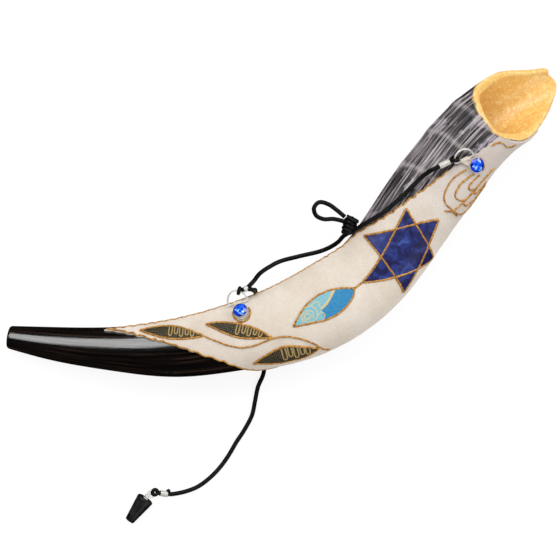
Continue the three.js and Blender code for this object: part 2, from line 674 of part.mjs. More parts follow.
// The tab that holds a ring's bar: an eye and a flat tongue under the stone. It is drawn with
// x away from the bar, y along the bar and z up, then laid on the leather.
function buildTab(name, { hinge, turn }, stoneAt) {
  const { thickness, eyeWall, width, stoneRadius, facet, reach } = TAB;
  const bore = RING.wire + GAP;
  const eye = bore + eyeWall;
  const height = RING_HEIGHT - LAYER.bottom;
  const profile = new THREE.Shape();
  profile.moveTo(reach, 0);
  profile.lineTo(reach, thickness);
  profile.lineTo(Math.sqrt(eye ** 2 - (height - thickness) ** 2), thickness);
  profile.absarc(0, height, eye, Math.asin((thickness - height) / eye), 1.5 * Math.PI, false);
  profile.holes.push(new THREE.Path().absarc(0, height, bore, 0, 2 * Math.PI, true));
  const strap = new THREE.ExtrudeGeometry(profile, {
    depth: 2 * reach,
    bevelEnabled: false,
    curveSegments: 10,
  });
  strap.rotateX(Math.PI / 2).translate(0, reach, 0);
  const outline = new THREE.Shape();
  outline.moveTo(-eye - 1, -width / 2);
  outline.lineTo(1, -width / 2);
  outline.absarc(stoneAt.x, stoneAt.y, stoneRadius, radians(-125), radians(125), false);
  outline.lineTo(1, width / 2);
  outline.lineTo(-eye - 1, width / 2);
  const hole = new THREE.Path();
  hole.absarc(stoneAt.x, stoneAt.y, SETTING.shank + GAP, 0, 2 * Math.PI, true);
  outline.holes.push(hole);
  const trim = new THREE.ExtrudeGeometry(outline, {
    depth: 2 * (height + eye),
    bevelEnabled: false,
    curveSegments: 16,
  });
  trim.translate(0, 0, -1);
  const flat = fromSolid(toSolid(strap).intersect(toSolid(trim)));
  flat.rotateZ(-radians(turn)).translate(hinge[1], hinge[0], LAYER.bottom);
  add(name, onHorn(flat, facet), PAINT.leather);
}

function buildHanger(side, spec) {
  const { origin, axis, reach } = hangerFrame(spec);
  const [hinge] = plan([spec.hinge]);
  const [stone] = plan([spec.stone]);
  const stoneAt = stone.clone().sub(hinge).rotateAround(new THREE.Vector2(), radians(spec.turn));
  buildTab(`${side}_ring_tab`, spec, stoneAt);

  const base = LAYER.bottom + TAB.thickness + GAP;
  const seat = leatherPoint(...spec.stone, base);
  const upright = aimed(seat, leatherPoint(...spec.stone, base + 1));
  const { radius, height, shank } = SETTING;
  add(`${side}_stone_setting`, lathe([
    [0, -TAB.thickness - GAP], [shank, -TAB.thickness - GAP], [shank, 0], [radius - 0.5, 0],
    [radius, 0.5], [radius, height], [0, height],
  ], 18), PAINT.steel, upright);
  const { bottom, girdle, table } = STONE;
  const top = bottom + STONE.height;
  add(`${side}_stone`, lathe([
    [0, bottom], [girdle * 0.8, bottom], [girdle, bottom + 0.7], [girdle, bottom + 1],
    [table, top], [0, top],
  ], 12), PAINT.crystal, upright);
  const [from, to] = spec.surround;
  const surround = [];
  for (let i = 0; i <= 10; i += 1) {
    const angle = radians(from + ((to - from) * i) / 10 - spec.turn);
    const { x, y } = stone;
    surround.push([
      y + SURROUND.radius * Math.sin(angle),
      x + SURROUND.radius * Math.cos(angle),
    ]);
  }
  add(`${side}_stone_gilt`, giltLine(surround, 12, SURROUND.line), PAINT.gilt);

  add(`${side}_d_ring`, ringWire(), PAINT.steel, inPlane(origin, axis, reach));
  const bow = radians(spec.eyeAt);
  const { width, depth, corner } = RING;
  const wire = [(width / 2) * Math.cos(bow), (depth - corner) * Math.sin(bow) + corner];
  const run = [-(width / 2) * Math.sin(bow), (depth - corner) * Math.cos(bow)];
  const inRing = ([x, y]) => axis.clone().multiplyScalar(x).addScaledVector(reach, y);
  const loopCentre = origin.clone().add(inRing(wire));
  const tangent = inRing(run).normalize();
  const level = axis.clone().cross(reach);
  const pull = tangent.clone().cross(level).normalize();
  add(`${side}_cord_eye`, ringBody(LOOP.radius, LOOP.tube), PAINT.cord,
    inPlane(loopCentre, pull, level));
  const lift = LOOP.radius + LOOP.tube + GAP;
  const start = loopCentre.clone().addScaledVector(axis, spec.crimpSide * lift);
  const end = start.clone().addScaledVector(axis, spec.crimpSide * spec.crimpLength);
  add(`${side}_crimp`, crimpBody(spec.crimpLength, 4), PAINT.steel, aimed(start, end));
}

function buildKnot() {
  const { centre, axis, length, radius } = KNOT;
  const profile = [];
  for (let i = 0; i <= 10; i += 1) {
    const angle = (Math.PI * i) / 10;
    const waist = 1 - 0.12 * Math.sin(angle) ** 8;
    profile.push([radius * Math.sin(angle) * waist, (-length / 2) * Math.cos(angle)]);
  }
  const middle = vector(centre);
  const place = aimed(middle, middle.clone().add(vector(axis)));
  add('cord_knot', lathe(profile, 14), PAINT.cord, place);
}

function buildStopper() {
  const wide = vector(STOPPER.wide);
  const narrow = vector(STOPPER.narrow);
  const length = wide.distanceTo(narrow);
  const [rWide, rNarrow] = STOPPER.radii;
  const outward = wide.clone().sub(narrow).normalize();
  add('stopper_plug', lathe([
    [0, 0], [rNarrow - 0.6, 0], [rNarrow, 0.6], [rWide, length - 0.8], [rWide - 0.8, length],
    [0, length],
  ], 24), PAINT.plug, aimed(narrow, wide));

  const { radius, wire, reach } = SCREW_EYE;
  const eyeCentre = wide.clone().addScaledVector(outward, reach);
  const loopCentre = vector(STOPPER_LOOP);
  const crimpEnd = vector(STOPPER_CRIMP_END);
  const chain = loopCentre.clone().sub(eyeCentre).normalize();
  const lead = crimpEnd.clone().sub(loopCentre).normalize();
  const ring = toSolid(ringBody(radius, wire));
  const shankLength = reach - GAP - radius + 0.2;
  const shank = lathe([
    [0, 0], [1.1, 0], [1.1, 0.35], [wire, 0.5], [wire, shankLength], [0, shankLength],
  ], 12);
  shank.translate(0, GAP - reach, 0);
  const sideways = chain.clone().addScaledVector(outward, -chain.dot(outward));
  add('screw_eye', closed(fromSolid(ring.add(toSolid(shank)))), PAINT.steel,
    inPlane(eyeCentre, sideways, outward));
  add('jump_ring', ringBody(JUMP_RING.radius, JUMP_RING.wire), PAINT.steel,
    inPlane(eyeCentre.clone().lerp(loopCentre, 0.5), chain, lead.clone().cross(chain)));
  add('stopper_cord_eye', ringBody(LOOP.radius, LOOP.tube), PAINT.cord,
    inPlane(loopCentre, lead, chain));
  const crimpStart = loopCentre.clone().addScaledVector(lead, LOOP.radius + LOOP.tube + GAP);
  add('stopper_crimp', crimpBody(crimpStart.distanceTo(crimpEnd), 5), PAINT.steel,
    aimed(crimpStart, crimpEnd));
}

buildHorn();
buildLeather();
buildEdgeLine('upper_edge_gilt', upperEdge, EDGE_LINE.inset, EDGE_SPANS.upper);
add('bell_edge_gilt', giltLine(BELL_LINE, 10, EDGE_LINE.width), PAINT.gilt);
buildEdgeLine('lower_edge_gilt', lowerEdge, -EDGE_LINE.inset, EDGE_SPANS.lower);
buildStar();
buildLeaves();
buildMenorah();
buildHanger('mouth', HANGERS.mouth);
buildHanger('bell', HANGERS.bell);
add('carry_cord_mouth_half', cord(CARRY_CORD_MOUTH), PAINT.cord);
add('carry_cord_bell_half', cord(CARRY_CORD_BELL), PAINT.cord);
add('bow_loop', cord(BOW_LOOP), PAINT.cord);
buildKnot();
add('stopper_cord', cord(STOPPER_CORD), PAINT.cord);
buildStopper();

export default group;
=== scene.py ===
# The looks of a shofar: a ram's horn half covered in decorated leather, with a carrying cord on
# two D-rings and a mouthpiece stopper on its own cord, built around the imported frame.
import math

import bpy
import numpy as np
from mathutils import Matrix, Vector


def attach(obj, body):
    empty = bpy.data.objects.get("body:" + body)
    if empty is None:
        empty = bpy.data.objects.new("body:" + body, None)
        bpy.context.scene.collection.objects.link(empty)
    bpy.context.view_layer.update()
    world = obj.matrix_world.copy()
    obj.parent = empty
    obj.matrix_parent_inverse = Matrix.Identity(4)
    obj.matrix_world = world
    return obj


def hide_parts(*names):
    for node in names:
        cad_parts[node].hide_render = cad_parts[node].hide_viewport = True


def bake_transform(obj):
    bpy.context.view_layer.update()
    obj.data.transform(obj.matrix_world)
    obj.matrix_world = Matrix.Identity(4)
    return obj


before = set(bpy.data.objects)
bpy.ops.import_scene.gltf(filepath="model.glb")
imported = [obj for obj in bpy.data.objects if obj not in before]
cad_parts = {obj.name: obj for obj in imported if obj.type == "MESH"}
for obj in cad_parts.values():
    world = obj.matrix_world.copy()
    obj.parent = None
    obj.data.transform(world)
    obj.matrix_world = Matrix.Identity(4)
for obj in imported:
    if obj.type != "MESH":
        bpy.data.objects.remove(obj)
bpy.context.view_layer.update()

MM = 0.001                       # a millimetre in metres

# ---------------------------------------------------------------- camera

VIEW_CENTRE = (-1.36, -39.27)    # millimetres
VIEW_HEIGHT = 2200
VIEW_WIDTH = 380.8               # seen at the horn's middle height
HORN_MIDDLE = 25
SENSOR = 36

camera_data = bpy.data.cameras.new("camera")
camera_data.sensor_width = SENSOR
camera_data.lens = SENSOR * (VIEW_HEIGHT - HORN_MIDDLE) / VIEW_WIDTH
camera_data.clip_end = 20
camera = bpy.data.objects.new("camera", camera_data)
camera.location = (VIEW_CENTRE[0] * MM, VIEW_CENTRE[1] * MM, VIEW_HEIGHT * MM)
bpy.context.scene.collection.objects.link(camera)
bpy.context.scene.camera = camera

# ---------------------------------------------------------------- materials


def rgb(red, green, blue):
    """A colour given in 0-255 display values, as a linear colour."""
    linear = [((c / 255 + 0.055) / 1.055) ** 2.4 if c > 10 else c / 255 / 12.92
              for c in (red, green, blue)]
    return (*linear, 1.0)


class Paint:
    """A procedural material being built around its Principled shader."""

    def __init__(self, name, **constants):
        self.material = bpy.data.materials.new(name)
        self.material.use_nodes = True
        self.tree = self.material.node_tree
        self.shader = self.tree.nodes["Principled BSDF"]
        for socket, value in constants.items():
            self.shader.inputs[socket.replace("_", " ")].default_value = value

    def node(self, kind, inputs, **settings):
        made = self.tree.nodes.new(kind)
        for key, value in settings.items():
            setattr(made, key, value)
        for key, value in inputs.items():
            if isinstance(value, bpy.types.NodeSocket):
                self.tree.links.new(value, made.inputs[key])
            else:
                made.inputs[key].default_value = value
        return made

    def attribute(self, name, output="Fac"):
        return self.node("ShaderNodeAttribute", {}, attribute_name=name).outputs[output]

    def place(self):
        return self.node("ShaderNodeTexCoord", {}).outputs["Object"]

    def math(self, operation, a, b=0.0):
        return self.node("ShaderNodeMath", {0: a, 1: b}, operation=operation).outputs[0]

    def scaled(self, vector, factors):
        return self.node("ShaderNodeVectorMath", {0: vector, 1: factors},
                         operation="MULTIPLY").outputs[0]

    def noise(self, vector, scale=1.0, detail=2.0, rough=0.5, distort=0.0):
        return self.node("ShaderNodeTexNoise", {
            "Vector": vector, "Scale": scale, "Detail": detail, "Roughness": rough,
            "Distortion": distort}).outputs["Fac"]

    def cells(self, vector, scale=1.0, feature="F1", randomness=1.0):
        return self.node("ShaderNodeTexVoronoi", {
            "Vector": vector, "Scale": scale, "Randomness": randomness},
            feature=feature).outputs["Distance"]

    def ramp(self, value, *stops):
        """A colour or grey value between stops, each a position and what it gives."""
        made = self.node("ShaderNodeValToRGB", {0: value})
        elements = made.color_ramp.elements
        while len(elements) < len(stops):
            elements.new(0.5)
        for element, (position, colour) in zip(elements, stops):
            element.position = position
            element.color = colour if isinstance(colour, tuple) else (colour,) * 3 + (1,)
        return made.outputs["Color"]

    def step(self, value, low, high, to_low=0.0, to_high=1.0):
        return self.node("ShaderNodeMapRange", {
            0: value, 1: low, 2: high, 3: to_low, 4: to_high},
            interpolation_type="SMOOTHSTEP").outputs[0]

    def mix(self, share, a, b, blend="MIX"):
        return self.node("ShaderNodeMix", {0: share, 6: a, 7: b}, data_type="RGBA",
                         blend_type=blend).outputs[2]

    def blend_values(self, share, a, b):
        return self.node("ShaderNodeMix", {0: share, 2: a, 3: b}, data_type="FLOAT").outputs[0]

    def bump(self, height, depth, under=None):
        inputs = {"Height": height, "Distance": depth * MM, "Strength": 1.0}
        if under is not None:
            inputs["Normal"] = under
        return self.node("ShaderNodeBump", inputs).outputs[0]

    def set(self, **links):
        for socket, value in links.items():
            self.tree.links.new(value, self.shader.inputs[socket.replace("_", " ")])
        return self.material

    def finish(self, colour, wear, rough, normal):
        """Set the colour, the normal and a roughness that follows wear between two values."""
        roughness = self.ramp(wear, (0.3, rough[0]), (0.7, rough[1]))
        return self.set(Base_Color=colour, Roughness=roughness, Normal=normal)


def horn_material():
    p = Paint("horn", IOR=1.8)
    grain = p.attribute("grain", "Vector")
    spot = p.place()
    along = p.attribute("along")
    gilded = p.attribute("gilded")
    fine = p.noise(p.scaled(grain, (0.03, 0.95, 0.95)), detail=4, rough=0.6)
    broad = p.noise(p.scaled(grain, (0.014, 0.34, 0.34)), detail=4, rough=0.6)
    patch = p.noise(p.scaled(grain, (0.05, 0.1, 0.1)), detail=4, rough=0.6)
    natural = p.step(p.math("ADD", along, p.math("MULTIPLY", patch, 40.0)), 215.0, 262.0)

    black = p.ramp(broad, (0.34, rgb(6, 5, 5)), (0.54, rgb(20, 16, 14)), (0.72, rgb(58, 40, 30)))
    streak = p.math("ADD", p.math("MULTIPLY", fine, 0.75), p.math("MULTIPLY", broad, 0.25))
    grey = p.ramp(streak, (0.42, rgb(14, 12, 13)), (0.48, rgb(52, 47, 50)),
                  (0.53, rgb(104, 97, 100)), (0.6, rgb(176, 166, 168)))
    pale = p.ramp(streak, (0.4, rgb(92, 84, 92)), (0.58, rgb(188, 178, 186)))
    bare = p.step(p.math("SUBTRACT", along, p.math("MULTIPLY", patch, 60.0)), 290.0, 230.0)
    smooth_grey = p.ramp(streak, (0.38, rgb(84, 78, 84)), (0.6, rgb(132, 124, 130)))
    grey = p.mix(p.step(patch, 0.54, 0.6), grey, pale)
    grey = p.mix(p.math("MULTIPLY", bare, 0.7), grey, smooth_grey)
    crest = p.math("MULTIPLY", p.attribute("crest"), p.step(streak, 0.42, 0.56, 0.25, 0.8))
    grey = p.mix(crest, grey, rgb(176, 166, 166))
    raw = p.mix(natural, black, grey)
    foil = p.noise(spot, scale=380.0, detail=5, rough=0.66, distort=1.3)
    # Painted shade: the foil's creases are darkened towards a deeper orange gold.
    crease_shade = p.step(p.math("ABSOLUTE", p.math("SUBTRACT", foil, 0.5)), 0.0, 0.05, 1.0, 0.0)
    gold = p.ramp(foil, (0.32, rgb(230, 166, 80)), (0.5, rgb(240, 194, 106)),
                  (0.68, rgb(250, 222, 152)))
    gold = p.mix(p.math("MULTIPLY", crease_shade, 0.22), gold, rgb(226, 152, 70))
    colour = p.mix(gilded, raw, gold)

    polish = p.ramp(broad, (0.3, 0.1), (0.75, 0.2))
    rough = p.blend_values(natural, polish, p.ramp(fine, (0.3, 0.62), (0.7, 0.42)))
    rough = p.blend_values(gilded, rough, 0.36)
    shine = p.blend_values(natural, p.ramp(fine, (0.35, 0.7), (0.6, 0.95)), 0.25)
    shine = p.blend_values(gilded, shine, 0.4)
    rise = p.blend_values(natural, p.math("MULTIPLY", fine, 0.12), fine)
    relief = p.blend_values(gilded, rise, p.math("MULTIPLY", foil, 0.55))
    return p.set(Base_Color=colour, Roughness=rough, Normal=p.bump(relief, 0.35),
                 Specular_IOR_Level=shine)


def leather_material():
    p = Paint("cream_leather", Specular_IOR_Level=0.35, Sheen_Weight=0.1, Sheen_Roughness=0.5)
    grain = p.attribute("grain", "Vector")
    along = p.attribute("along")
    stain = p.noise(grain, scale=0.035, detail=4, rough=0.6)
    pebble = p.cells(grain, scale=1.0)
    fibre = p.noise(grain, scale=1.4, detail=4, rough=0.65)
    cream = p.ramp(stain, (0.3, rgb(209, 195, 179)), (0.55, rgb(218, 207, 193)),
                   (0.75, rgb(224, 216, 205)))
    grey = p.ramp(stain, (0.3, rgb(190, 179, 170)), (0.7, rgb(206, 196, 187)))
    base = p.mix(p.step(along, 270.0, 360.0), cream, grey)
    speck = p.ramp(p.math("ADD", p.math("MULTIPLY", pebble, 0.7), p.math("MULTIPLY", fibre, 0.5)),
                   (0.3, 0.84), (0.62, 1.0))
    base = p.mix(0.8, base, speck, "MULTIPLY")
    return p.finish(base, fibre, (0.62, 0.8), p.bump(pebble, 0.09, p.bump(fibre, 0.12)))


def gilt_material():
    p = Paint("gilt_relief", Metallic=0.35)
    grain = p.attribute("grain", "Vector")
    worn = p.noise(grain, scale=0.5, detail=4, rough=0.65)
    fine = p.noise(grain, scale=2.6, detail=3)
    colour = p.ramp(worn, (0.32, rgb(132, 78, 28)), (0.5, rgb(192, 136, 62)),
                    (0.68, rgb(226, 182, 106)))
    return p.finish(colour, fine, (0.3, 0.52), p.bump(fine, 0.16))


def lapis_material():
    p = Paint("lapis_leather", Specular_IOR_Level=0.4)
    grain = p.attribute("grain", "Vector")
    cloud = p.noise(grain, scale=0.11, detail=6, rough=0.62, distort=0.9)
    vein = p.cells(p.scaled(grain, (0.16, 0.16, 0.16)), feature="DISTANCE_TO_EDGE")
    fine = p.noise(grain, scale=1.8, detail=4)
    deep = p.ramp(cloud, (0.36, rgb(15, 14, 58)), (0.47, rgb(20, 24, 84)),
                  (0.58, rgb(34, 50, 122)), (0.72, rgb(60, 88, 160)))
    colour = p.mix(p.math("MULTIPLY", p.step(vein, 0.0, 0.1, 1.0, 0.0), 0.12), deep,
                   rgb(46, 70, 150))
    return p.finish(colour, fine, (0.36, 0.55), p.bump(fine, 0.07))


def turquoise_material():
    p = Paint("turquoise_leather", Specular_IOR_Level=0.4)
    grain = p.attribute("grain", "Vector")
    fine = p.noise(grain, scale=1.6, detail=4)
    blue = p.ramp(p.noise(p.scaled(grain, (0.35, 1.9, 1.0)), detail=4), (0.3, rgb(30, 116, 168)),
                  (0.7, rgb(60, 148, 194)))
    aqua = p.ramp(fine, (0.3, rgb(84, 160, 182)), (0.7, rgb(152, 202, 206)))
    gold = p.ramp(fine, (0.3, rgb(196, 160, 92)), (0.7, rgb(232, 212, 160)))
    colour = p.mix(p.attribute("gold"), p.mix(p.attribute("motif"), blue, aqua), gold)
    return p.finish(colour, fine, (0.38, 0.55), p.bump(fine, 0.06))


def printed_material():
    p = Paint("printed_leather", Specular_IOR_Level=0.35)
    grain = p.attribute("grain", "Vector")
    weave = p.cells(grain, scale=0.85, randomness=0.2)
    fine = p.noise(grain, scale=2.0, detail=3)
    ground = p.mix(p.step(weave, 0.18, 0.42), rgb(108, 98, 66), rgb(32, 27, 17))
    gold = p.ramp(fine, (0.3, rgb(168, 134, 72)), (0.7, rgb(212, 182, 118)))
    colour = p.mix(p.attribute("gold"), ground, gold)
    return p.finish(colour, fine, (0.5, 0.7), p.bump(weave, 0.08))


def steel_material():
    p = Paint("nickel_wire", Metallic=0.35)
    spot = p.place()
    haze = p.noise(spot, scale=900.0, detail=3)
    scratch = p.noise(p.scaled(spot, (300.0, 2500.0, 2500.0)), detail=2)
    colour = p.ramp(haze, (0.3, rgb(216, 213, 206)), (0.7, rgb(246, 244, 240)))
    return p.finish(colour, scratch, (0.14, 0.32), p.bump(scratch, 0.02))


def crystal_material():
    p = Paint("sapphire_crystal", IOR=1.6, Roughness=0.04, Coat_Weight=1.0, Coat_Roughness=0.02,
              Metallic=0.1)
    # Each facet's colour is a painted reflection: dark navy by the girdle, up to pale blue glints
    # on the table and crown.
    return p.set(Base_Color=p.ramp(
        p.attribute("facet"), (0.0, rgb(3, 12, 96)), (0.3, rgb(8, 40, 190)),
        (0.6, rgb(20, 84, 245)), (0.85, rgb(60, 140, 255)), (1.0, rgb(160, 215, 255))))


def cord_material():
    p = Paint("waxed_cord", Specular_IOR_Level=0.22)
    run = p.attribute("grain", "Vector")
    streak = p.noise(p.scaled(run, (0.25, 2.2, 2.2)), detail=4)
    colour = p.ramp(streak, (0.3, rgb(3, 3, 3)), (0.7, rgb(13, 13, 12)))
    return p.finish(colour, streak, (0.36, 0.58), p.bump(streak, 0.09))


def plug_material():
    p = Paint("rubber_plug", Specular_IOR_Level=0.45)
    spot = p.place()
    fine = p.noise(spot, scale=1500.0, detail=3)
    scuff = p.noise(spot, scale=240.0, detail=4)
    colour = p.ramp(scuff, (0.35, rgb(14, 14, 15)), (0.7, rgb(34, 34, 35)))
    return p.finish(colour, scuff, (0.34, 0.55), p.bump(fine, 0.04))


PAINT = {
    "horn": horn_material(),
    "leather": leather_material(),
    "gilt": gilt_material(),
    "lapis": lapis_material(),
    "turquoise": turquoise_material(),
    "printed": printed_material(),
    "steel": steel_material(),
    "crystal": crystal_material(),
    "cord": cord_material(),
    "plug": plug_material(),
}

# ---------------------------------------------------------------- meshes


def unit(vectors):
    vectors = np.asarray(vectors, float)
    return vectors / np.maximum(np.linalg.norm(vectors, axis=-1, keepdims=True), 1e-12)


def run_along(path):
    """The distance along a path at each of its points."""
    return np.concatenate([[0], np.cumsum(np.linalg.norm(np.diff(path, axis=0), axis=1))])


def eased(share):
    """A share held between 0 and 1 that starts and ends gently."""
    share = np.clip(share, 0, 1)
    return share * share * (3 - 2 * share)


def wander(x, seed, pitch):
    """A smooth irregular value within about -1 to 1 along a length."""
    draw = np.random.default_rng(seed)
    total = 0
    for octave in range(3):
        turns = 2 * math.pi / (pitch / 1.9 ** octave)
        total = total + np.sin(np.asarray(x, float) * turns * draw.uniform(0.8, 1.2)
                               + draw.uniform(0, 6.3)) / 1.6 ** octave
    return total / 2


def piece(name, parts, slot, node, body="horn_body", sharp=None, flat=False):
    """One shown piece from parts (points in mm, faces, grain, extras): it takes the finish of a
    slot, rides on a body and stands for a CAD node. Edges over the sharp angle stay sharp."""
    points, faces, grain, extras, start = [], [], [], {}, 0
    for part in parts:
        points.append(np.asarray(part[0], float))
        faces += [tuple(int(i) + start for i in face) for face in part[1]]
        grain.append(np.asarray(part[2], float))
        for key, values in (part[3] if len(part) > 3 else {}).items():
            extras.setdefault(key, []).append(np.asarray(values, float).ravel())
        start += len(part[0])
    mesh = bpy.data.meshes.new(name)
    mesh.from_pydata((np.concatenate(points) * MM).tolist(), [], faces)
    stored = mesh.attributes.new("grain", "FLOAT_VECTOR", "POINT")
    stored.data.foreach_set("vector", np.concatenate(grain).astype(np.float32).ravel())
    for key, values in extras.items():
        joined = np.concatenate(values)
        domain = "FACE" if key == "facet" else "POINT"
        stored = mesh.attributes.new(key, "FLOAT", domain)
        stored.data.foreach_set("value", joined.astype(np.float32))
    if not flat:
        mesh.shade_smooth()
    if sharp:
        mesh.set_sharp_from_angle(angle=math.radians(sharp))
    mesh.materials.append(PAINT[slot])
    made = bpy.data.objects.new(name, mesh)
    bpy.context.scene.collection.objects.link(made)
    if body:
        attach(made, body)
    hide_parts(node)
    return made


def grid_faces(rows, columns, ring=False):
    """Four-cornered faces between rows of points whose columns close, as the rows may too."""
    i, j = np.meshgrid(np.arange(rows if ring else rows - 1), np.arange(columns), indexing="ij")
    after, beside = (i + 1) % rows, (j + 1) % columns
    quads = np.stack([i * columns + j, i * columns + beside,
                      after * columns + beside, after * columns + j], -1)
    return quads.reshape(-1, 4).tolist()


def facing_out(points, faces):
    """The faces, turned over as a whole if they look inwards."""
    corners = np.array([(face[0], face[k], face[k + 1]) for face in faces
                        for k in range(1, len(face) - 1)])
    a, b, c = (points[corners[:, k]] for k in range(3))
    volume = np.einsum("ij,ij->", a, np.cross(b, c))
    return faces if volume > 0 else [tuple(reversed(face)) for face in faces]


def solid_grid(grid, grain, ring=False, extras=None):
    """A closed part from rows of points whose columns close; open rows end in flat strips."""
    rows, columns = grid.shape[:2]
    faces = grid_faces(rows, columns, ring)
    if not ring:
        last = (rows - 1) * columns
        for j in range(columns // 2 - 1):
            a, b, c, d = j, columns - 1 - j, columns - 2 - j, j + 1
            faces.append((a, b, c, d))
            faces.append((last + d, last + c, last + b, last + a))
    points = grid.reshape(-1, 3)
    return points, facing_out(points, faces), grain.reshape(-1, 3), extras or {}


def capped(grid, grain, extras=None):
    """A closed part from rows of points round a line, each end closed with a fan."""
    rows, columns = grid.shape[:2]
    points = np.concatenate([grid.reshape(-1, 3), [grid[0].mean(0), grid[-1].mean(0)]])
    marks = np.concatenate([grain.reshape(-1, 3), [grain[0].mean(0), grain[-1].mean(0)]])
    faces = grid_faces(rows, columns)
    first, last = rows * columns, rows * columns + 1
    for j in range(columns):
        k = (j + 1) % columns
        faces.append((first, k, j))
        faces.append((last, (rows - 1) * columns + j, (rows - 1) * columns + k))
    return points, facing_out(points, faces), marks, extras or {}


def side_directions(path, closed=False):
    """Two directions across a path at each point, turning no more than the path does."""
    if closed:
        tangents = unit(np.roll(path, -1, 0) - np.roll(path, 1, 0))
    else:
        tangents = unit(np.gradient(path, axis=0))
    side = np.cross(tangents[0], [0, 0, 1.0])
    if np.linalg.norm(side) < 0.1:
        side = np.cross(tangents[0], [0, 1.0, 0])
    sides = []
    for tangent in tangents:
        side = side - np.dot(side, tangent) * tangent
        side = side / np.linalg.norm(side)
        sides.append(side)
    return np.array(sides), np.cross(tangents, sides)


def tube(path, radius, around=16, closed=False):
    """A tube along a path; radius is one value or one for each point."""
    path = np.asarray(path, float)
    radius = np.broadcast_to(np.asarray(radius, float), (len(path),))
    first, second = side_directions(path, closed)
    angle = 2 * math.pi * np.arange(around) / around
    out = (np.cos(angle)[None, :, None] * first[:, None] + np.sin(angle)[None, :, None]
           * second[:, None])
    grid = path[:, None] + out * radius[:, None, None]
    run, spread = run_along(path)[:, None] + 0 * angle, radius.max() + 0 * radius[:, None]
    grain = np.stack([run, spread * np.cos(angle), spread * np.sin(angle)], -1)
    if closed:
        return solid_grid(grid, grain, ring=True)
    return capped(grid, grain)


def rounded(path, radius, depth):
    """Radii for a tube whose two ends are rounded over a depth."""
    run = run_along(path)
    share = np.clip(np.minimum(run, run[-1] - run) / depth, 0, 1)
    return radius * np.maximum(np.sqrt(1 - (1 - share) ** 2), 0.25)


def through(points, step, closed=False):
    """A smooth line through points, cut into pieces of about one step."""
    points = np.asarray(points, float)
    if closed:
        ends = np.concatenate([points[-1:], points, points[:2]])
    else:
        ends = np.concatenate([[2 * points[0] - points[1]], points,
                               [2 * points[-1] - points[-2]]])
    out = []
    for p0, p1, p2, p3 in zip(ends[:-3], ends[1:-2], ends[2:-1], ends[3:]):
        t1 = np.linalg.norm(p1 - p0) ** 0.5
        t2 = t1 + np.linalg.norm(p2 - p1) ** 0.5
        t3 = t2 + np.linalg.norm(p3 - p2) ** 0.5
        t = np.linspace(t1, t2, max(2, math.ceil(np.linalg.norm(p2 - p1) / step)),
                        endpoint=False)[:, None]
        a1 = (t1 - t) / t1 * p0 + t / t1 * p1
        a2 = (t2 - t) / (t2 - t1) * p1 + (t - t1) / (t2 - t1) * p2
        a3 = (t3 - t) / (t3 - t2) * p2 + (t - t2) / (t3 - t2) * p3
        b1 = (t2 - t) / t2 * a1 + t / t2 * a2
        b2 = (t3 - t) / (t3 - t1) * a2 + (t - t1) / (t3 - t1) * a3
        out.append((t2 - t) / (t2 - t1) * b1 + (t - t1) / (t2 - t1) * b2)
    if not closed:
        out.append(points[-1:])
    return np.concatenate(out)


def lathe(profile, around, origin, axis, steps=1):
    """A body of revolution: profile is radius and height pairs from axis to axis."""
    axis = unit(axis)
    first = unit(np.cross(axis, [0.3, 0.2, 1.0]))
    second = np.cross(axis, first)
    profile = np.array(profile, float)
    dense = [profile[:1]]
    for a, b in zip(profile[:-1], profile[1:]):
        dense.append(a + (b - a) * np.linspace(0, 1, steps + 1)[1:, None])
    profile = np.concatenate(dense)[1:-1]
    angle = 2 * math.pi * np.arange(around) / around
    spokes = np.cos(angle)[:, None] * first + np.sin(angle)[:, None] * second
    grid = (np.asarray(origin, float) + profile[:, None, :1] * spokes
            + profile[:, None, 1:] * axis)
    return capped(grid, grid)


def circle(centre, radius, first, second, count=48):
    turn = np.linspace(0, 2 * math.pi, count, endpoint=False)
    return centre + radius * (np.outer(np.cos(turn), first) + np.outer(np.sin(turn), second))


# ---------------------------------------------------------------- cords

CORD_RADIUS = 1.5
CARRY_CORD_MOUTH = [
    (-24.1, -45.1, 42.1), (-21.7, -42.8, 42.6), (-19.4, -40.4, 41.4), (-14.9, -34.8, 35),
    (-8, -30, 29.2), (-1.3, -26.6, 25.4), (12.2, -23, 22), (25.7, -19.8, 23.2),
    (32.6, -17, 26), (37.9, -13.6, 29.8), (41.4, -9.8, 33.8), (44, -8, 36)]
CARRY_CORD_BELL = [
    (48.6, -5.6, 40.2), (51.2, -4.2, 41.9), (55, -1.8, 44.3), (60.4, 1.4, 46.1),
    (67.2, 5.5, 47.6), (74, 11, 47.1), (80.9, 17.2, 47.6), (87.5, 23.6, 47.9),
    (93.6, 29.6, 49), (98.5, 33.3, 51.4), (101.5, 35, 52.8), (104.9, 36.6, 53.3),
    (107.4, 37.9, 53.1)]
BOW_LOOP = [
    (42.4, 3.4, 39.2), (37.4, 7.6, 40.2), (31, 12, 40.6), (25, 13.2, 40.2), (21.6, 9.4, 39.4),
    (23, 4.4, 38.4), (28, 1.9, 38), (34.4, 2, 37.8), (38.8, 1.2, 37.8), (43, 0, 38)]
STOPPER_CORD = [
    (-24, -45.3, 42.2), (-20.3, -45.7, 42.6), (-19.4, -46.3, 40.4), (-18.8, -46.3, 36),
    (-18.3, -46, 31), (-18, -47.8, 25), (-17.8, -49.6, 18), (-17.2, -52.8, 10.5),
    (-16.4, -57.6, 5.2), (-15.4, -64, 2.2), (-14, -76, 1.6), (-12.4, -92, 1.6),
    (-12.6, -103, 1.6), (-16.5, -112.8, 1.6), (-18.5, -122.4, 1.6), (-20.6, -132.1, 1.6),
    (-26.1, -142.7, 1.6), (-31.3, -150.6, 1.6), (-37.4, -160.9, 1.6), (-43.6, -169.2, 1.6),
    (-50.5, -176, 1.6), (-57.7, -181.2, 1.6), (-65.3, -184.3, 1.6), (-72.5, -186, 1.6),
    (-77.4, -186.6, 1.9)]


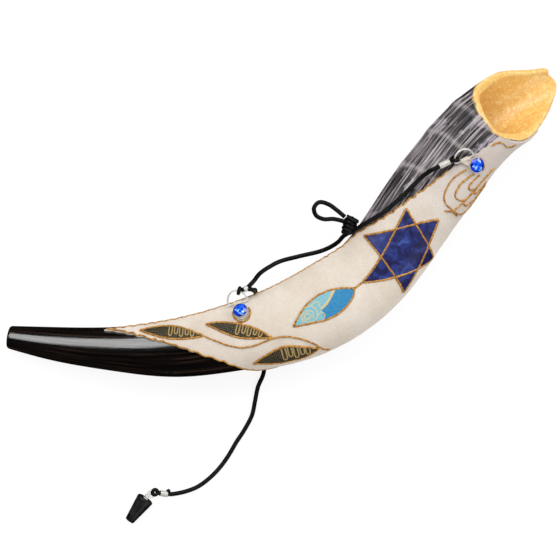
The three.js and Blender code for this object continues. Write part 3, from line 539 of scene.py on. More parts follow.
def cord_piece(name, route, node, blended=None):
    """A cord along its route, riding on the horn; a cord blended with a ring rides on no body,
    with its place baked into its points.
    """
    path = through(route, 0.9)
    made = piece(name, [tube(path, CORD_RADIUS, 20)], "cord", node,
                 body=None if blended else "horn_body")
    if blended:
        ring, moves, stays = blended
        [c * MM for c in moves]
        [c * MM for c in stays]
        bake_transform(made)
    return made, path


def declare(made, path):
    """A cord's length in metres, worked out and left unused."""
    length = round(float(run_along(path)[-1] * MM), 3)


carry_mouth, carry_mouth_path = cord_piece(
    "carry_cord_lower", CARRY_CORD_MOUTH, "carry_cord_mouth_half",
    ("mouth_ring", (-21.7, -42.8, 42.6), (-5, -28.5, 27.5)))
carry_bell, carry_bell_path = cord_piece(
    "carry_cord_upper", CARRY_CORD_BELL, "carry_cord_bell_half",
    ("bell_ring", (104.9, 36.6, 53.3), (80.9, 17.2, 47.6)))
bow, bow_path = cord_piece("bow", BOW_LOOP, "bow_loop")
tail, tail_path = cord_piece("tail_cord", STOPPER_CORD, "stopper_cord",
                             ("mouth_ring", (-20.3, -45.7, 42.6), (-18.2, -46.5, 28)))

KNOT_CENTRE = np.array([45.6, -2.6, 38.0])
KNOT_AXIS = unit([0.3, 1, 0.15])
KNOT_TURNS = 4.0
KNOT_RADIUS = 3.2
KNOT_LENGTH = 11.0


def knot_part():
    """A barrel of turns round the cords, with a cut end standing out on top."""
    right = unit(np.cross(KNOT_AXIS, [0, 0, 1.0]))
    up = np.cross(right, KNOT_AXIS)
    path = []
    for share in np.linspace(0, 1, 91):
        angle = 2 * math.pi * KNOT_TURNS * share + 2.2
        radius = KNOT_RADIUS - 0.45 * math.cos(2 * math.pi * share) + 0.25 * math.sin(9 * share)
        height = KNOT_LENGTH * (share - 0.5)
        path.append(KNOT_CENTRE + height * KNOT_AXIS
                    + radius * (math.cos(angle) * right + math.sin(angle) * up))
    path = np.array(path)
    nub = [path[-1] + 1.6 * unit(path[-1] - path[-4]),
           KNOT_CENTRE + 4.6 * KNOT_AXIS + 2.6 * right + 3.9 * up,
           KNOT_CENTRE + 4.8 * KNOT_AXIS + 4.9 * right + 2.4 * up]
    path = through(np.concatenate([path[::4], nub]), 0.6)
    core = np.array([KNOT_CENTRE + h * KNOT_AXIS for h in np.linspace(-6.6, 6.6, 14)])
    return [tube(path, rounded(path, CORD_RADIUS, 1.2), 18),
            tube(core, rounded(core, 3.7, 3.0), 18)]


knot = piece("knot", knot_part(), "cord", "cord_knot")

# ---------------------------------------------------------------- horn surface

# The horn's centre line in x, y and z, its half width and half height, and how much its
# section leans to a triangle, from the mouthpiece to just past the bell.
HORN = np.array([
    (-187.0, -78.4, 7.4, 7.8, 7.4, 0.0), (-158.0, -82.6, 11.8, 11.3, 10.6, 0.0),
    (-115.0, -86.3, 17.3, 15.0, 14.0, 0.01), (-72.4, -86.0, 21.8, 19.3, 17.5, 0.02),
    (-29.8, -78.3, 25.4, 22.4, 20.0, 0.03), (11.1, -65.7, 26.4, 26.2, 22.0, 0.04),
    (37.6, -51.7, 25.4, 27.0, 23.0, 0.05), (59.7, -34.2, 24.8, 26.2, 23.5, 0.05),
    (84.9, -0.4, 25.1, 26.1, 23.5, 0.06), (110.0, 34.7, 24.9, 25.8, 23.0, 0.07),
    (138.2, 66.9, 24.9, 24.6, 22.5, 0.08), (162.0, 82.8, 26.4, 24.1, 22.5, 0.09),
    (187.0, 94.9, 29.5, 24.3, 22.5, 0.09)])
RIM_STATION = 11
# How far the slanting rim reaches past its station, every 30 degrees round it.
RIM_REACH = np.array([-2.5, -19.5, -24.5, -26.8, -25.8, -15.3, -1, 9.8, 18, 25.8, 21, 9])
RIM_BLEND = 110
TOOTH_HEIGHT, TOOTH_ANGLE, TOOTH_SPREAD = 4.2, 302, 8
CUP_RADIUS, CUP_DEPTH, BORE_RADIUS = 5.6, 20, 4.2
HOLLOW_START, BELL_WALL, BELL_WIDENING, HOLLOW_SAG = 180, 5, 0.85, 1.5


def natural_spline(knots, values):
    """A function that runs smoothly through values at knots, straight at both ends."""
    knots, values = np.asarray(knots, float), np.asarray(values, float)
    count, steps = len(knots), np.diff(knots)
    system, right = np.eye(count), np.zeros(count)
    for i in range(1, count - 1):
        system[i, i - 1:i + 2] = steps[i - 1], 2 * (steps[i - 1] + steps[i]), steps[i]
        right[i] = 6 * ((values[i + 1] - values[i]) / steps[i]
                        - (values[i] - values[i - 1]) / steps[i - 1])
    bend = np.linalg.solve(system, right)

    def at(x):
        x = np.asarray(x, float)
        i = np.clip(np.searchsorted(knots, x) - 1, 0, count - 2)
        step = knots[i + 1] - knots[i]
        a, b = (knots[i + 1] - x) / step, (x - knots[i]) / step
        curve = (a ** 3 - a) * bend[i] + (b ** 3 - b) * bend[i + 1]
        return a * values[i] + b * values[i + 1] + curve * step * step / 6
    return at


STATIONS = run_along(HORN[:, :3])
RIM_LENGTH = STATIONS[RIM_STATION]
CENTRE = [natural_spline(STATIONS, HORN[:, k]) for k in range(3)]
half_width, half_height, keel = (natural_spline(STATIONS, HORN[:, k]) for k in (3, 4, 5))


def section(s, phi, width, height, triangle, sink=0.0):
    """A place on a section across the horn's centre line; angle phi is 90 degrees on top."""
    centre = np.stack([f(s) for f in CENTRE], -1)
    along = unit(np.stack([f(s + 0.5) - f(s - 0.5) for f in CENTRE], -1))
    across = unit(np.cross([0, 0, 1.0], along))
    up = np.cross(along, across)
    lobe = 1 + triangle * np.cos(3 * (phi + math.pi / 2))
    return (centre + across * (width * lobe * np.cos(phi))[..., None]
            + up * (height * lobe * np.sin(phi) - sink)[..., None])


def horn_point(s, phi, shrink=0.0):
    return section(s, phi, half_width(s) - shrink, half_height(s) - shrink, keel(s))


def horn_normal(s, phi):
    """The way that the horn's skin faces."""
    lengthwise = horn_point(s + 0.5, phi) - horn_point(s - 0.5, phi)
    around = horn_point(s, phi + 0.01) - horn_point(s, phi - 0.01)
    return unit(np.cross(around, lengthwise))


def mean_radius(s):
    return (half_width(s) + half_height(s)) / 2


def skin(s, phi, height):
    s, phi = np.asarray(s, float), np.asarray(phi, float)
    return horn_point(s, phi) + horn_normal(s, phi) * (height + 0 * phi)[..., None]


def on_leather(s, w, height):
    """A place along the horn and w round it from its top line, at a height above its skin."""
    s, w = np.asarray(s, float), np.asarray(w, float)
    return skin(s, math.pi / 2 + w / mean_radius(s), height)


def rim_reach(phi):
    """How far the rim reaches past its station at an angle, with the tooth on its edge."""
    turn = np.mod(np.degrees(phi), 360) / 30
    start = np.floor(turn).astype(int)
    p, q, r, t = (RIM_REACH[(start + i) % 12] for i in (-1, 0, 1, 2))
    f = turn - start
    smooth = q + ((r - p) * f + (2 * p - 5 * q + 4 * r - t) * f * f
                  + (3 * q - p - 3 * r + t) * f ** 3) / 2
    return smooth + TOOTH_HEIGHT * np.exp(-((turn * 30 - TOOTH_ANGLE) / TOOTH_SPREAD) ** 2)


def leaning(s, phi):
    """The station moved so that the sections lean over to the slanting rim."""
    return s + rim_reach(phi) * eased((s - RIM_LENGTH + RIM_BLEND) / RIM_BLEND)


def hollow_point(s, phi):
    """A place on the inside: the mouthpiece's cup, a round bore and the widening bell."""
    share = np.clip((s - HOLLOW_START) / (RIM_LENGTH - HOLLOW_START), 0, 1) ** BELL_WIDENING
    cup = np.clip(1 - s / CUP_DEPTH, 0, 1) ** 1.5
    bore = BORE_RADIUS + (CUP_RADIUS - BORE_RADIUS) * cup
    width = bore + (half_width(s) - BELL_WALL - bore) * share
    height = bore + (half_height(s) - BELL_WALL - bore) * share
    return section(s, phi, width, height, keel(s) * share, HOLLOW_SAG * share)


# ---------------------------------------------------------------- horn

AROUND = 144
LIP = 1.3                        # rounding of the bell's rim
MARK_RADIUS = 24                 # turns an angle into a distance round the horn for its grain
RAW_START, RAW_BLEND = 205, 60   # where the polished horn turns into rough natural horn
GROWTH_RIDGES = [(336, 0.3, 5), (364, 0.5, 4), (386, 0.6, 3.5)]    # place, height, spread
RIDGE_CREST = 1.6
GILT_RIM = 3.0                   # width of the gilding outside the rim
GILT_INSIDE, GILT_FADE = 296, 26    # where the bell's gilding starts and how fast it fills


def wavy_station(s, phi):
    """The station as the uneven growth ridges follow it."""
    return s + 2.5 * np.sin(2 * phi + 0.6) + 1.2 * np.sin(5 * phi)


def crest_line(s, phi):
    """1 on the crest of a growth ridge, 0 away from it."""
    return sum(np.exp(-((wavy_station(s, phi) - place) / RIDGE_CREST) ** 2)
               for place, _, _ in GROWTH_RIDGES)


def growth(s, phi):
    """Low relief of the natural horn: swells, growth ridges and shallow lengthwise flutes."""
    raw = np.clip((s - RAW_START) / RAW_BLEND, 0, 1)
    ridges = sum(height * np.exp(-((wavy_station(s, phi) - place) / spread) ** 2)
                 for place, height, spread in GROWTH_RIDGES)
    flutes = 0.16 * np.sin(11 * phi + 0.01 * s) * np.sin(7 * phi - 0.02 * s + 1)
    swell = 0.25 * np.sin(s / 11.0 + 1.3 * np.sin(phi)) * np.sin(s / 29.0)
    return raw * (ridges + flutes + swell)


def build_horn():
    """Rings of points from the mouthpiece along the outside, over the rim and back inside."""
    phi = math.pi / 2 + 2 * math.pi * np.arange(AROUND) / AROUND
    rows, stations, gilded = [], [], []

    def add(points, s, gold):
        rows.append(points)
        stations.append(s + 0 * phi)
        gilded.append(np.clip(gold + 0 * phi, 0, 1))

    gilt_edge = (GILT_RIM + 1.6 * np.clip(np.cos(phi), -1, 0) + 0.5 * np.sin(7 * phi)
                 + 0.35 * np.sin(17 * phi + 1))
    for nominal in np.concatenate([np.linspace(0.5, LIP + 2, 5)[:-1],
                                   np.linspace(LIP + 2, RIM_LENGTH - LIP, 330)]):
        s = leaning(nominal + 0 * phi, phi)
        rounding = 0.5 * max(0, 1 - nominal / 1.6) ** 2
        relief = growth(s, phi) * (1 - leather_inside(s, phi))
        points = horn_point(s, phi, rounding) + horn_normal(s, phi) * relief[:, None]
        add(points, s, (gilt_edge - RIM_LENGTH + nominal) / 0.8)
    for turn in (0.35, 0.7, 1.0):
        s = leaning(RIM_LENGTH - LIP * (1 - turn) + 0 * phi, phi)
        add(horn_point(s, phi, LIP * turn ** 2), s, 1)
    s = leaning(RIM_LENGTH + 0 * phi, phi)
    outer, inner = horn_point(s, phi, LIP), hollow_point(s, phi)
    for share in (0.3, 0.55, 0.8):
        swell = 0.35 * math.sin(math.pi * share)
        add(inner * share + horn_point(s + swell, phi, LIP) - outer * share, s, 1)
    for nominal in np.linspace(RIM_LENGTH - LIP + 0.1, CUP_DEPTH, 150):
        s = leaning(nominal + 0 * phi, phi)
        dents = 0.22 * np.sin(s / 5.2 + 3 * np.sin(2 * phi)) * np.sin(9 * phi + s / 17)
        dents = dents * np.clip((s - 300) / 60, 0, 1)
        away = unit(hollow_point(s, phi) - np.stack([f(s) for f in CENTRE], -1))
        add(hollow_point(s, phi) + away * dents[:, None], s, (s - GILT_INSIDE) / GILT_FADE)
    for share in (0.8, 0.6, 0.45, 0.3, 0.2, 0.1, 0.04, 0):
        s = CUP_DEPTH * share + 0 * phi
        add(hollow_point(s, phi), s, 0)
    for shrink in (1.1, 0.6):
        add(horn_point(0 * phi, phi, shrink), 0, 0)
    stations = np.array(stations)
    marks = np.stack([stations, MARK_RADIUS * np.cos(phi) + 0 * stations,
                      MARK_RADIUS * np.sin(phi) + 0 * stations], -1)
    extras = {"along": stations, "gilded": np.array(gilded), "crest": crest_line(stations, phi)}
    part = solid_grid(np.array(rows), marks, ring=True, extras=extras)
    piece("horn_surface", [part], "horn", "horn", sharp=50)


# ---------------------------------------------------------------- leather

LEATHER_START, LEATHER_END, LEATHER_TOP = 67.5, 391, 1.8
COVER_LEAN, COVER_INSET = 70, 2
LEATHER_UNDERSIDE, LEATHER_ROUNDING, LEATHER_DROP = 0.25, 0.9, 0.75
SCALLOP_PITCH, SCALLOP_DEPTH = 7.4, 0.95
UPPER_EDGE = [
    (60, 34), (72, 30), (86, 24), (120, 18), (160, 15), (200, 15), (240, 18), (258, 24),
    (278, 33), (295, 52), (312, 67), (333, 83), (348, 93), (360, 104), (374, 114), (391, 120),
    (410, 126)]
LOWER_EDGE = [
    (60, 34), (72, 40), (80, 46), (94, 61), (108, 75), (122, 90), (134, 107), (146, 125),
    (157, 147), (170, 173), (185, 189), (220, 196), (300, 197), (391, 190), (410, 189)]
upper_edge, lower_edge = (natural_spline([s for s, _ in edge], [math.radians(a) for _, a in edge])
                          for edge in (UPPER_EDGE, LOWER_EDGE))


def scallop(s, seed):
    """How far the cut edge of the leather waves in from its line, in millimetres."""
    place = s + 1.7 * wander(s, seed, 23)
    waves = 1 - np.abs(np.sin(math.pi * place / SCALLOP_PITCH))
    return SCALLOP_DEPTH * waves + 0.3 * wander(s, seed + 1, 9)


def edges_at(s, inset=0.0):
    """The angles of the two cut edges, moved inwards by an inset in millimetres."""
    radius = mean_radius(s)
    upper = upper_edge(s) + (scallop(s, 3) + inset) / radius
    lower = lower_edge(s) - (scallop(s, 5) + inset) / radius
    return upper, lower


def leather_inside(s, phi):
    """1 well inside the leather's outline, 0 outside it."""
    turn = np.mod(phi + math.pi / 2, 2 * math.pi) - math.pi / 2
    span = np.minimum(turn - upper_edge(s), lower_edge(s) - turn) * mean_radius(s)
    span = np.where(s < LEATHER_START, -1, span)
    return np.clip((span + 1) / 2.0, 0, 1)


def to_rim(s, phi):
    """The station moved so that the leather's end follows the slanting rim."""
    reach = RIM_LENGTH + rim_reach(phi) - COVER_INSET - LEATHER_END
    return s + reach * eased((s - LEATHER_END + COVER_LEAN) / COVER_LEAN)


def build_leather():
    rows, columns = 330, 60
    ease = 0.5 - 0.5 * np.cos(math.pi * np.linspace(0.08, 0.92, columns))
    ease = (ease - ease[0]) / (ease[-1] - ease[0])
    grid, marks = [], []
    for nominal in np.linspace(LEATHER_START, LEATHER_END, rows):
        upper, lower = edges_at(nominal + 0 * ease)
        phi = upper + (lower - upper) * ease
        s = to_rim(nominal + 0 * ease, phi)
        near = np.minimum(ease, 1 - ease) * (lower - upper) * mean_radius(nominal)
        near = np.minimum(near, min(nominal - LEATHER_START, LEATHER_END - nominal) + 0.15)
        share = np.clip(near / LEATHER_ROUNDING, 0, 1)
        drop = LEATHER_DROP * (1 - np.sqrt(1 - (1 - share) ** 2))
        puckers = 0.10 * wander(nominal + 9 * phi, 11, 17) + 0.07 * wander(26 * phi, 12, 13)
        puckers = puckers + 0.16 * np.exp(-near / 2.5) * wander(nominal + 4 * phi, 14, 7)
        top = skin(s, phi, LEATHER_TOP + puckers * np.clip(near, 0, 1) - drop)
        under = skin(s, phi, LEATHER_UNDERSIDE)
        mark = np.stack([s, (phi - math.pi / 2) * MARK_RADIUS, 0 * phi], -1)
        grid.append(np.concatenate([top, under[::-1]]))
        marks.append(np.concatenate([mark, mark[::-1]]))
    marks = np.array(marks)
    part = solid_grid(np.array(grid), marks, extras={"along": marks[..., 0]})
    piece("leather", [part], "leather", "leather_cover", sharp=60)


# ---------------------------------------------------------------- gilt lines

STRIP_BASE, STRIP_TOP = 1.45, 2.65
STRIP_SECTION = np.radians(np.arange(0, 181, 20))
LINE_STEP = 0.7
BELL_LINE = [(379.1, 13), (384.8, 14.4), (388, 17), (388.2, 20), (392, 22.8), (396.5, 24)]


def strip(line, width, seed, height=STRIP_TOP, wobble=0.12):
    """A raised gilt line along places (s, w) on the leather, drawn by hand."""
    line = np.asarray(line, float)
    run = run_along(line)
    tangent = unit(np.gradient(line, axis=0))
    side = np.stack([-tangent[:, 1], tangent[:, 0]], -1)
    line = line + side * (wobble * wander(run, seed, 9))[:, None]
    near = np.minimum(run, run[-1] - run)
    tip = np.sqrt(1 - (1 - np.clip(near / (width / 2), 0, 1)) ** 2)
    half = width / 2 * (1 + 0.13 * wander(run, seed + 1, 6)) * np.maximum(tip, 0.12)
    crown = (height - STRIP_BASE) * (1 + 0.1 * wander(run, seed + 2, 4))
    crown = crown * (0.55 + 0.45 * np.maximum(tip, 0.05))
    rows, marks = [], []
    for angle in STRIP_SECTION:
        place = line + side * (half * math.cos(angle))[:, None]
        level = STRIP_BASE + crown * max(0, math.sin(angle)) ** 0.8
        rows.append(on_leather(place[:, 0], place[:, 1], level))
        marks.append(np.stack([place[:, 0], place[:, 1], 0 * run], -1))
    grid, marks = np.array(rows).transpose(1, 0, 2), np.array(marks).transpose(1, 0, 2)
    return capped(grid, marks)


def flat_through(pairs, step=LINE_STEP):
    """A smooth line through places (s, w)."""
    return through([(s, w, 0) for s, w in pairs], step)[:, :2]


def straight(a, b):
    count = max(2, math.ceil(math.dist(a, b) / LINE_STEP))
    return np.linspace(np.asarray(a, float), b, count + 1)


def edge_line(edge, end, start=69, inset=0.7):
    """A line just inside one cut edge of the leather: 0 is the upper edge, 1 the lower."""
    s = np.arange(start, end, LINE_STEP)
    angle = edges_at(s, inset)[edge]
    s_at = to_rim(s, angle)
    return np.stack([s_at, (angle - math.pi / 2) * mean_radius(s_at)], -1)


def build_edges():
    """The gilt lines along the leather's cut edges."""
    for edge, (side, end) in enumerate([("upper", 348), ("lower", 388)]):
        line = strip(edge_line(edge, end), 1.2, 20 + 3 * edge, height=2.35, wobble=0.1)
        piece(f"{side}_gilt_line", [line], "gilt", f"{side}_edge_gilt")
    line = strip(flat_through(BELL_LINE), 1.3, 28, height=2.45)
    piece("bell_gilt_line", [line], "gilt", "bell_edge_gilt")


# ---------------------------------------------------------------- star, leaves, vine, menorah

# Places are given as (s, w): the distance along the horn, and round it from its top line.
STAR_TIPS = [(309.6, -6.2), (316.1, 15.2), (292.1, 30.7), (265.3, 26.6), (251.3, 1), (277.8, -19)]
LEAVES = {
    "turquoise_leaf": (
        [(196.8, 3), (208.3, -5.1), (219.3, -7.9), (230.3, -6.9), (238.3, -3.6), (244.8, 0.7)],
        [(196.8, 3), (209.3, 5.6), (219.3, 7.9), (230.3, 7.7), (239.3, 5.1), (244.8, 0.7)]),
    "dark_leaf_1": (
        [(93, -12.9), (100.5, -14.9), (109, -15.8), (119, -14.9), (129.5, -10.9), (139.2, -5.6)],
        [(93, -12.9), (101.7, -10.1), (110, -7.8), (119.5, -6.2), (129, -5.6), (139.2, -5.6)]),
    "dark_leaf_2": (
        [(141.3, -12.9), (149.3, -12.6), (157.4, -10.6), (165.8, -7.3), (174, -2.6), (182.4, 5.4)],
        [(141.3, -12.9), (148.3, -8.2), (155.2, -3.5), (163.2, 0.6), (172.5, 3), (182.4, 5.4)]),
    "dark_leaf_3": (
        [(165.8, 19), (172, 16.3), (180.1, 13.7), (188.1, 13), (197.2, 16.6), (207, 23)],
        [(165.8, 19), (173, 21.3), (181, 23.9), (190.1, 25.5), (198.1, 25.8), (207, 23)]),
}
VINE = [
    (138.6, -5.8), (141.8, -3.8), (148.2, 0.1), (155.1, 4), (161.1, 6.3), (166.1, 7.1),
    (173.1, 6.9), (180.2, 6), (187.2, 6.4), (194.2, 8.9), (200.2, 13.1), (205.2, 18.6),
    (208.7, 25.1), (212.2, 29.3)]
MENORAH_STEM = [(325.8, 19.7), (341.7, 22.9), (355.6, 24.1), (369.1, 25.5)]
MENORAH_BASE = [(322.8, 14.8), (325.6, 19.7), (325.4, 25.2)]
MENORAH_ARMS = [
    [(354.6, 11), (349.4, 8.8), (342.7, 7.3), (336.3, 7.7), (331.5, 9), (328.8, 10.8),
     (327.3, 13), (326.8, 16.5), (326.6, 19.7)],
    [(355.6, 16.2), (351.8, 15), (345.2, 13.3), (339.4, 13.4), (335.5, 14.8), (334.5, 16.7),
     (335.6, 20.2), (338, 22.1)],
    [(357.5, 19.4), (353.4, 18.8), (347.5, 18.1), (345.2, 18.9), (345.2, 20.9), (347.7, 23.3)]]
MENORAH_LEAN, MIRRORED_SHARE = 0.16, 0.8
PRINT_EDGE = [(232.2, -5.8), (223.2, -1.1), (218.6, 0.1), (217, 5.7)]
PATCH_BASE, PATCH_RIM, PATCH_TOP = 1.5, 1.9, 2.2


def patch(grid, extras=None):
    """A thin shape of leather lying on the cover, from a grid of places (s, w)."""
    rows, columns = grid.shape[:2]
    i, j = np.meshgrid(np.arange(rows), np.arange(columns), indexing="ij")
    rim = (i == 0) | (i == rows - 1) | (j == 0) | (j == columns - 1)
    top = on_leather(grid[..., 0], grid[..., 1], np.where(rim, PATCH_RIM, PATCH_TOP))
    bottom = on_leather(grid[..., 0], grid[..., 1], PATCH_BASE)
    marks = np.concatenate([grid, 0 * grid[..., :1]], -1)
    points = np.concatenate([top, bottom[:, ::-1]], 1)
    marks = np.concatenate([marks, marks[:, ::-1]], 1)
    extras = {key: np.concatenate([values, values[:, ::-1]], 1)
              for key, values in (extras or {}).items()}
    return solid_grid(points, marks, extras=extras)


def crossing(a, b, c, d):
    """Where the line from a to b crosses the line from c to d."""
    one, two = b - a, d - c
    share = ((c - a)[0] * two[1] - (c - a)[1] * two[0]) / (one[0] * two[1] - one[1] * two[0])
    return a + one * share


def blade(left, right, rows, columns):
    """A grid between two lines that meet at their ends."""
    share = np.linspace(0.04, 0.96, rows)
    at = np.linspace(0, 1, len(left)), np.linspace(0, 1, len(right))
    left = np.stack([np.interp(share, at[0], left[:, k]) for k in (0, 1)], -1)
    right = np.stack([np.interp(share, at[1], right[:, k]) for k in (0, 1)], -1)
    across = np.linspace(0, 1, columns)[None, :, None]
    return left[:, None] + (right - left)[:, None] * across


def build_star():
    """Six gilt lines from tip to tip, a patch in each point and one in the middle."""
    tips = [np.array(t, float) for t in STAR_TIPS]
    inner = [crossing(tips[i], tips[(i + 2) % 6], tips[(i + 5) % 6], tips[(i + 1) % 6])
             for i in range(6)]
    lines = [strip(straight(tips[i], tips[(i + 2) % 6]), 1.5, 40 + 3 * i) for i in range(6)]
    piece("star_frame", lines, "gilt", "star_gilt")
    for i in range(6):
        a, tip, b = inner[(i + 5) % 6], tips[i], inner[i]
        shares = np.linspace(0, 0.93, 16)[:, None]
        edge_a, edge_b = a + (tip - a) * shares, b + (tip - b) * shares
        grid = np.linspace(edge_a, edge_b, 12, axis=1)
        piece(f"star_blade_{i + 1}", [patch(grid)], "lapis", f"star_point_{i + 1}", sharp=60)
    left, right = (np.concatenate([straight(inner[i], inner[j]) for i, j in zip(way, way[1:])])
                   for way in ((0, 1, 2, 3), (0, 5, 4, 3)))
    piece("star_heart", [patch(blade(left, right, 40, 30))], "lapis", "star_centre", sharp=60)


def drawn(grid, lines, width):
    """1 on lines drawn over a grid of places, fading to 0 at their edges."""
    line = np.concatenate(lines)
    away = np.linalg.norm(grid[:, :, None] - line, axis=-1).min(-1)
    return np.clip((width / 2 - away) / 0.3 + 0.5, 0, 1)


def turquoise_print(grid):
    """The printed end of the turquoise leaf: a curl, a ring and a spike."""
    s, w = grid[..., 0], grid[..., 1]
    border = np.interp(w, [p[1] for p in PRINT_EDGE], [p[0] for p in PRINT_EDGE])
    turn = np.linspace(0, 2 * math.pi, 60)[:, None]
    lines = [(209.7, -0.1) + np.cos(turn) * (5.4, 0) + np.sin(turn) * (0, 4.9),
             (207.9, 0.6) + np.cos(turn) * (2.0, 0) + np.sin(turn) * (0, 1.8),
             flat_through([(203.4, 3), (205, -1.6), (209.4, -2.6), (212.4, -0.4), (211, 2.6)]),
             flat_through([(213.2, -4.6), (216.6, -5.4), (219, -3.4), (217.4, -1.6)]),
             flat_through([(214.6, 3), (217.2, 1.8), (218.4, 4.4), (216.6, 6.4)])]
    spike = drawn(grid, [flat_through(PRINT_EDGE[:3], 0.3)], 1.5)
    gold = np.maximum(drawn(grid, lines, 0.7), spike)
    return {"motif": np.clip((border - s) / 0.5 + 0.5, 0, 1), "gold": gold}


def dark_print(grid):
    """A fringe of loops hanging from the upper side over the leaf's later half."""
    lines = []
    for k, share in enumerate(np.linspace(0.5, 0.86, 5)):
        row = grid[int(share * (len(grid) - 1))]
        top, bottom = row[0], row[-1]
        low = top + (bottom - top) * (0.62 if k % 2 else 0.78)
        lines.append(flat_through([top + (-1.2, 0), low + (-0.9, -0.6), low, low + (0.9, -0.6),
                                   top + (1.2, 0)], 0.3))
    return {"gold": drawn(grid, lines, 0.6)}


def build_leaves():
    """Each leaf's printed patch and its outline, and the vine between them."""
    for seed, (name, sides) in enumerate(LEAVES.items()):
        upper, lower = (flat_through(side) for side in sides)
        grid = blade(upper, lower, 130, 46)
        lines = [strip(upper, 1.45, 60 + 6 * seed), strip(lower, 1.45, 63 + 6 * seed)]
        slot, extras = "printed", dark_print(grid)
        if name == "turquoise_leaf":
            slot, extras = "turquoise", turquoise_print(grid)
            lines.append(strip(straight(upper[-1] - (1, 0), STAR_TIPS[4]), 1.45, 95))
        piece(f"{name}_patch", [patch(grid, extras)], slot, name, sharp=60)
        piece(f"{name}_outline", lines, "gilt", f"{name}_gilt")
    piece("vine_line", [strip(flat_through(VINE), 1.15, 90)], "gilt", "vine_gilt")


def mirrored(arm):
    """An arm of the lamp on the other side of its leaning stem."""
    out = []
    for s, w in arm:
        middle = MENORAH_STEM[0][1] + MENORAH_LEAN * (s - MENORAH_STEM[0][0])
        out.append((s, middle + MIRRORED_SHARE * (middle - w)))
    return out


def build_menorah():
    """A lamp of gilt lines with three pairs of arms."""
    arms = MENORAH_ARMS + [mirrored(arm) for arm in MENORAH_ARMS]
    shapes = [(MENORAH_STEM, 1.3), (MENORAH_BASE, 1.3)] + [(arm, 1.15) for arm in arms]
    lines = [strip(flat_through(line), width, 100 + 3 * i)
             for i, (line, width) in enumerate(shapes)]
    piece("menorah_lines", lines, "gilt", "menorah_gilt")


# ---------------------------------------------------------------- rings and stones

RING_WIDTH, RING_DEPTH, RING_CORNER, WIRE = 13.4, 9.0, 1.2, 0.6
RING_HEIGHT = 3.6                # the bar's middle above the horn, and the top of the tab
LOOP_RADIUS, LOOP_TUBE, NECK_RADIUS = 1.85, 1.3, 1.45
COIL_START = LOOP_RADIUS + 1.35  # from the middle of a cord's eye to the wire round its neck
COIL_RADIUS, COIL_WIRE = 1.72, 0.42
TAB_BASE, TAB_WIDTH, TAB_LOOP, TAB_TONE = 2.2, 5.6, 1.4, 200
STONE_TAB, STONE_SEAT, SURROUND_RADIUS = 4.6, 3.9, 5.9
HANGERS = {
    "mouth": {"hinge": (166.3, -21.4), "stone": (167, -14.9), "turn": 0, "lean": 62,
              "eye": 62, "side": 1, "crimp": 3.6, "surround": (-118, 118)},
    "bell": {"hinge": (358.7, 5.7), "stone": (361, 13), "turn": 24, "lean": 38,
             "eye": 156, "side": -1, "crimp": 8.5, "surround": (25, 118)},
}


def hanger_frame(spec):
    """The hinge's middle and axis, the way the ring stands, and places measured from the bar."""
    (s, w), turn, lean = spec["hinge"], math.radians(spec["turn"]), math.radians(spec["lean"])

    def place(along, away, height=RING_HEIGHT):
        return on_leather(s + along * math.cos(turn) - away * math.sin(turn),
                          w + along * math.sin(turn) + away * math.cos(turn), height)
    origin = place(0, 0)
    axis = unit(place(1, 0) - place(-1, 0))
    normal = horn_normal(np.float64(s), np.float64(math.pi / 2 + w / mean_radius(s)))
    away = unit(np.cross(normal, axis))
    if away @ (place(0, -1) - origin) < 0:
        away = -away
    upright = unit(np.cross(away, axis))
    if upright @ normal < 0:
        upright = -upright
    reach = away * math.cos(lean) + upright * math.sin(lean)
    return origin, axis, reach, place


def bow_point(angle):
    """A place on the bow of a ring, as distances along the bar and away from it."""
    return (RING_WIDTH / 2 * math.cos(angle),
            (RING_DEPTH - RING_CORNER) * math.sin(angle) + RING_CORNER)


def ring_outline():
    points = [((i / 4 - 0.5) * (RING_WIDTH - 2 * RING_CORNER), 0.0) for i in range(5)]
    for angle in np.radians(np.linspace(-20, 200, 17)):
        x, y = bow_point(angle)
        points.append((x * (1 + 0.1 * min(0, math.sin(angle))), max(y, 0.25 * RING_CORNER)))
    return points


def coil(start, direction, length, pitch):
    """A wire wound round a cord's neck."""
    first = unit(np.cross(direction, [0.1, 0.2, 1.0]))
    second = np.cross(direction, first)
    turns = length / pitch
    share = np.linspace(0, 1, int(turns * 20) + 1)
    angle = 2 * math.pi * turns * share
    path = (start + np.outer(COIL_WIRE + (length - 2 * COIL_WIRE) * share, direction)
            + COIL_RADIUS * (np.outer(np.cos(angle), first) + np.outer(np.sin(angle), second)))
    return tube(path, rounded(path, COIL_WIRE, COIL_WIRE), 8)


def cord_eye(centre, first, second, direction, neck_end, count):
    """The eye that a cord ends in, and the neck that leads away from it."""
    places = np.linspace(LOOP_RADIUS - 0.4, neck_end, count)
    neck = centre + np.outer(places, direction)
    return [tube(circle(centre, LOOP_RADIUS, first, second), LOOP_TUBE, 16, closed=True),
            tube(neck, rounded(neck, NECK_RADIUS, 0.8), 16)]


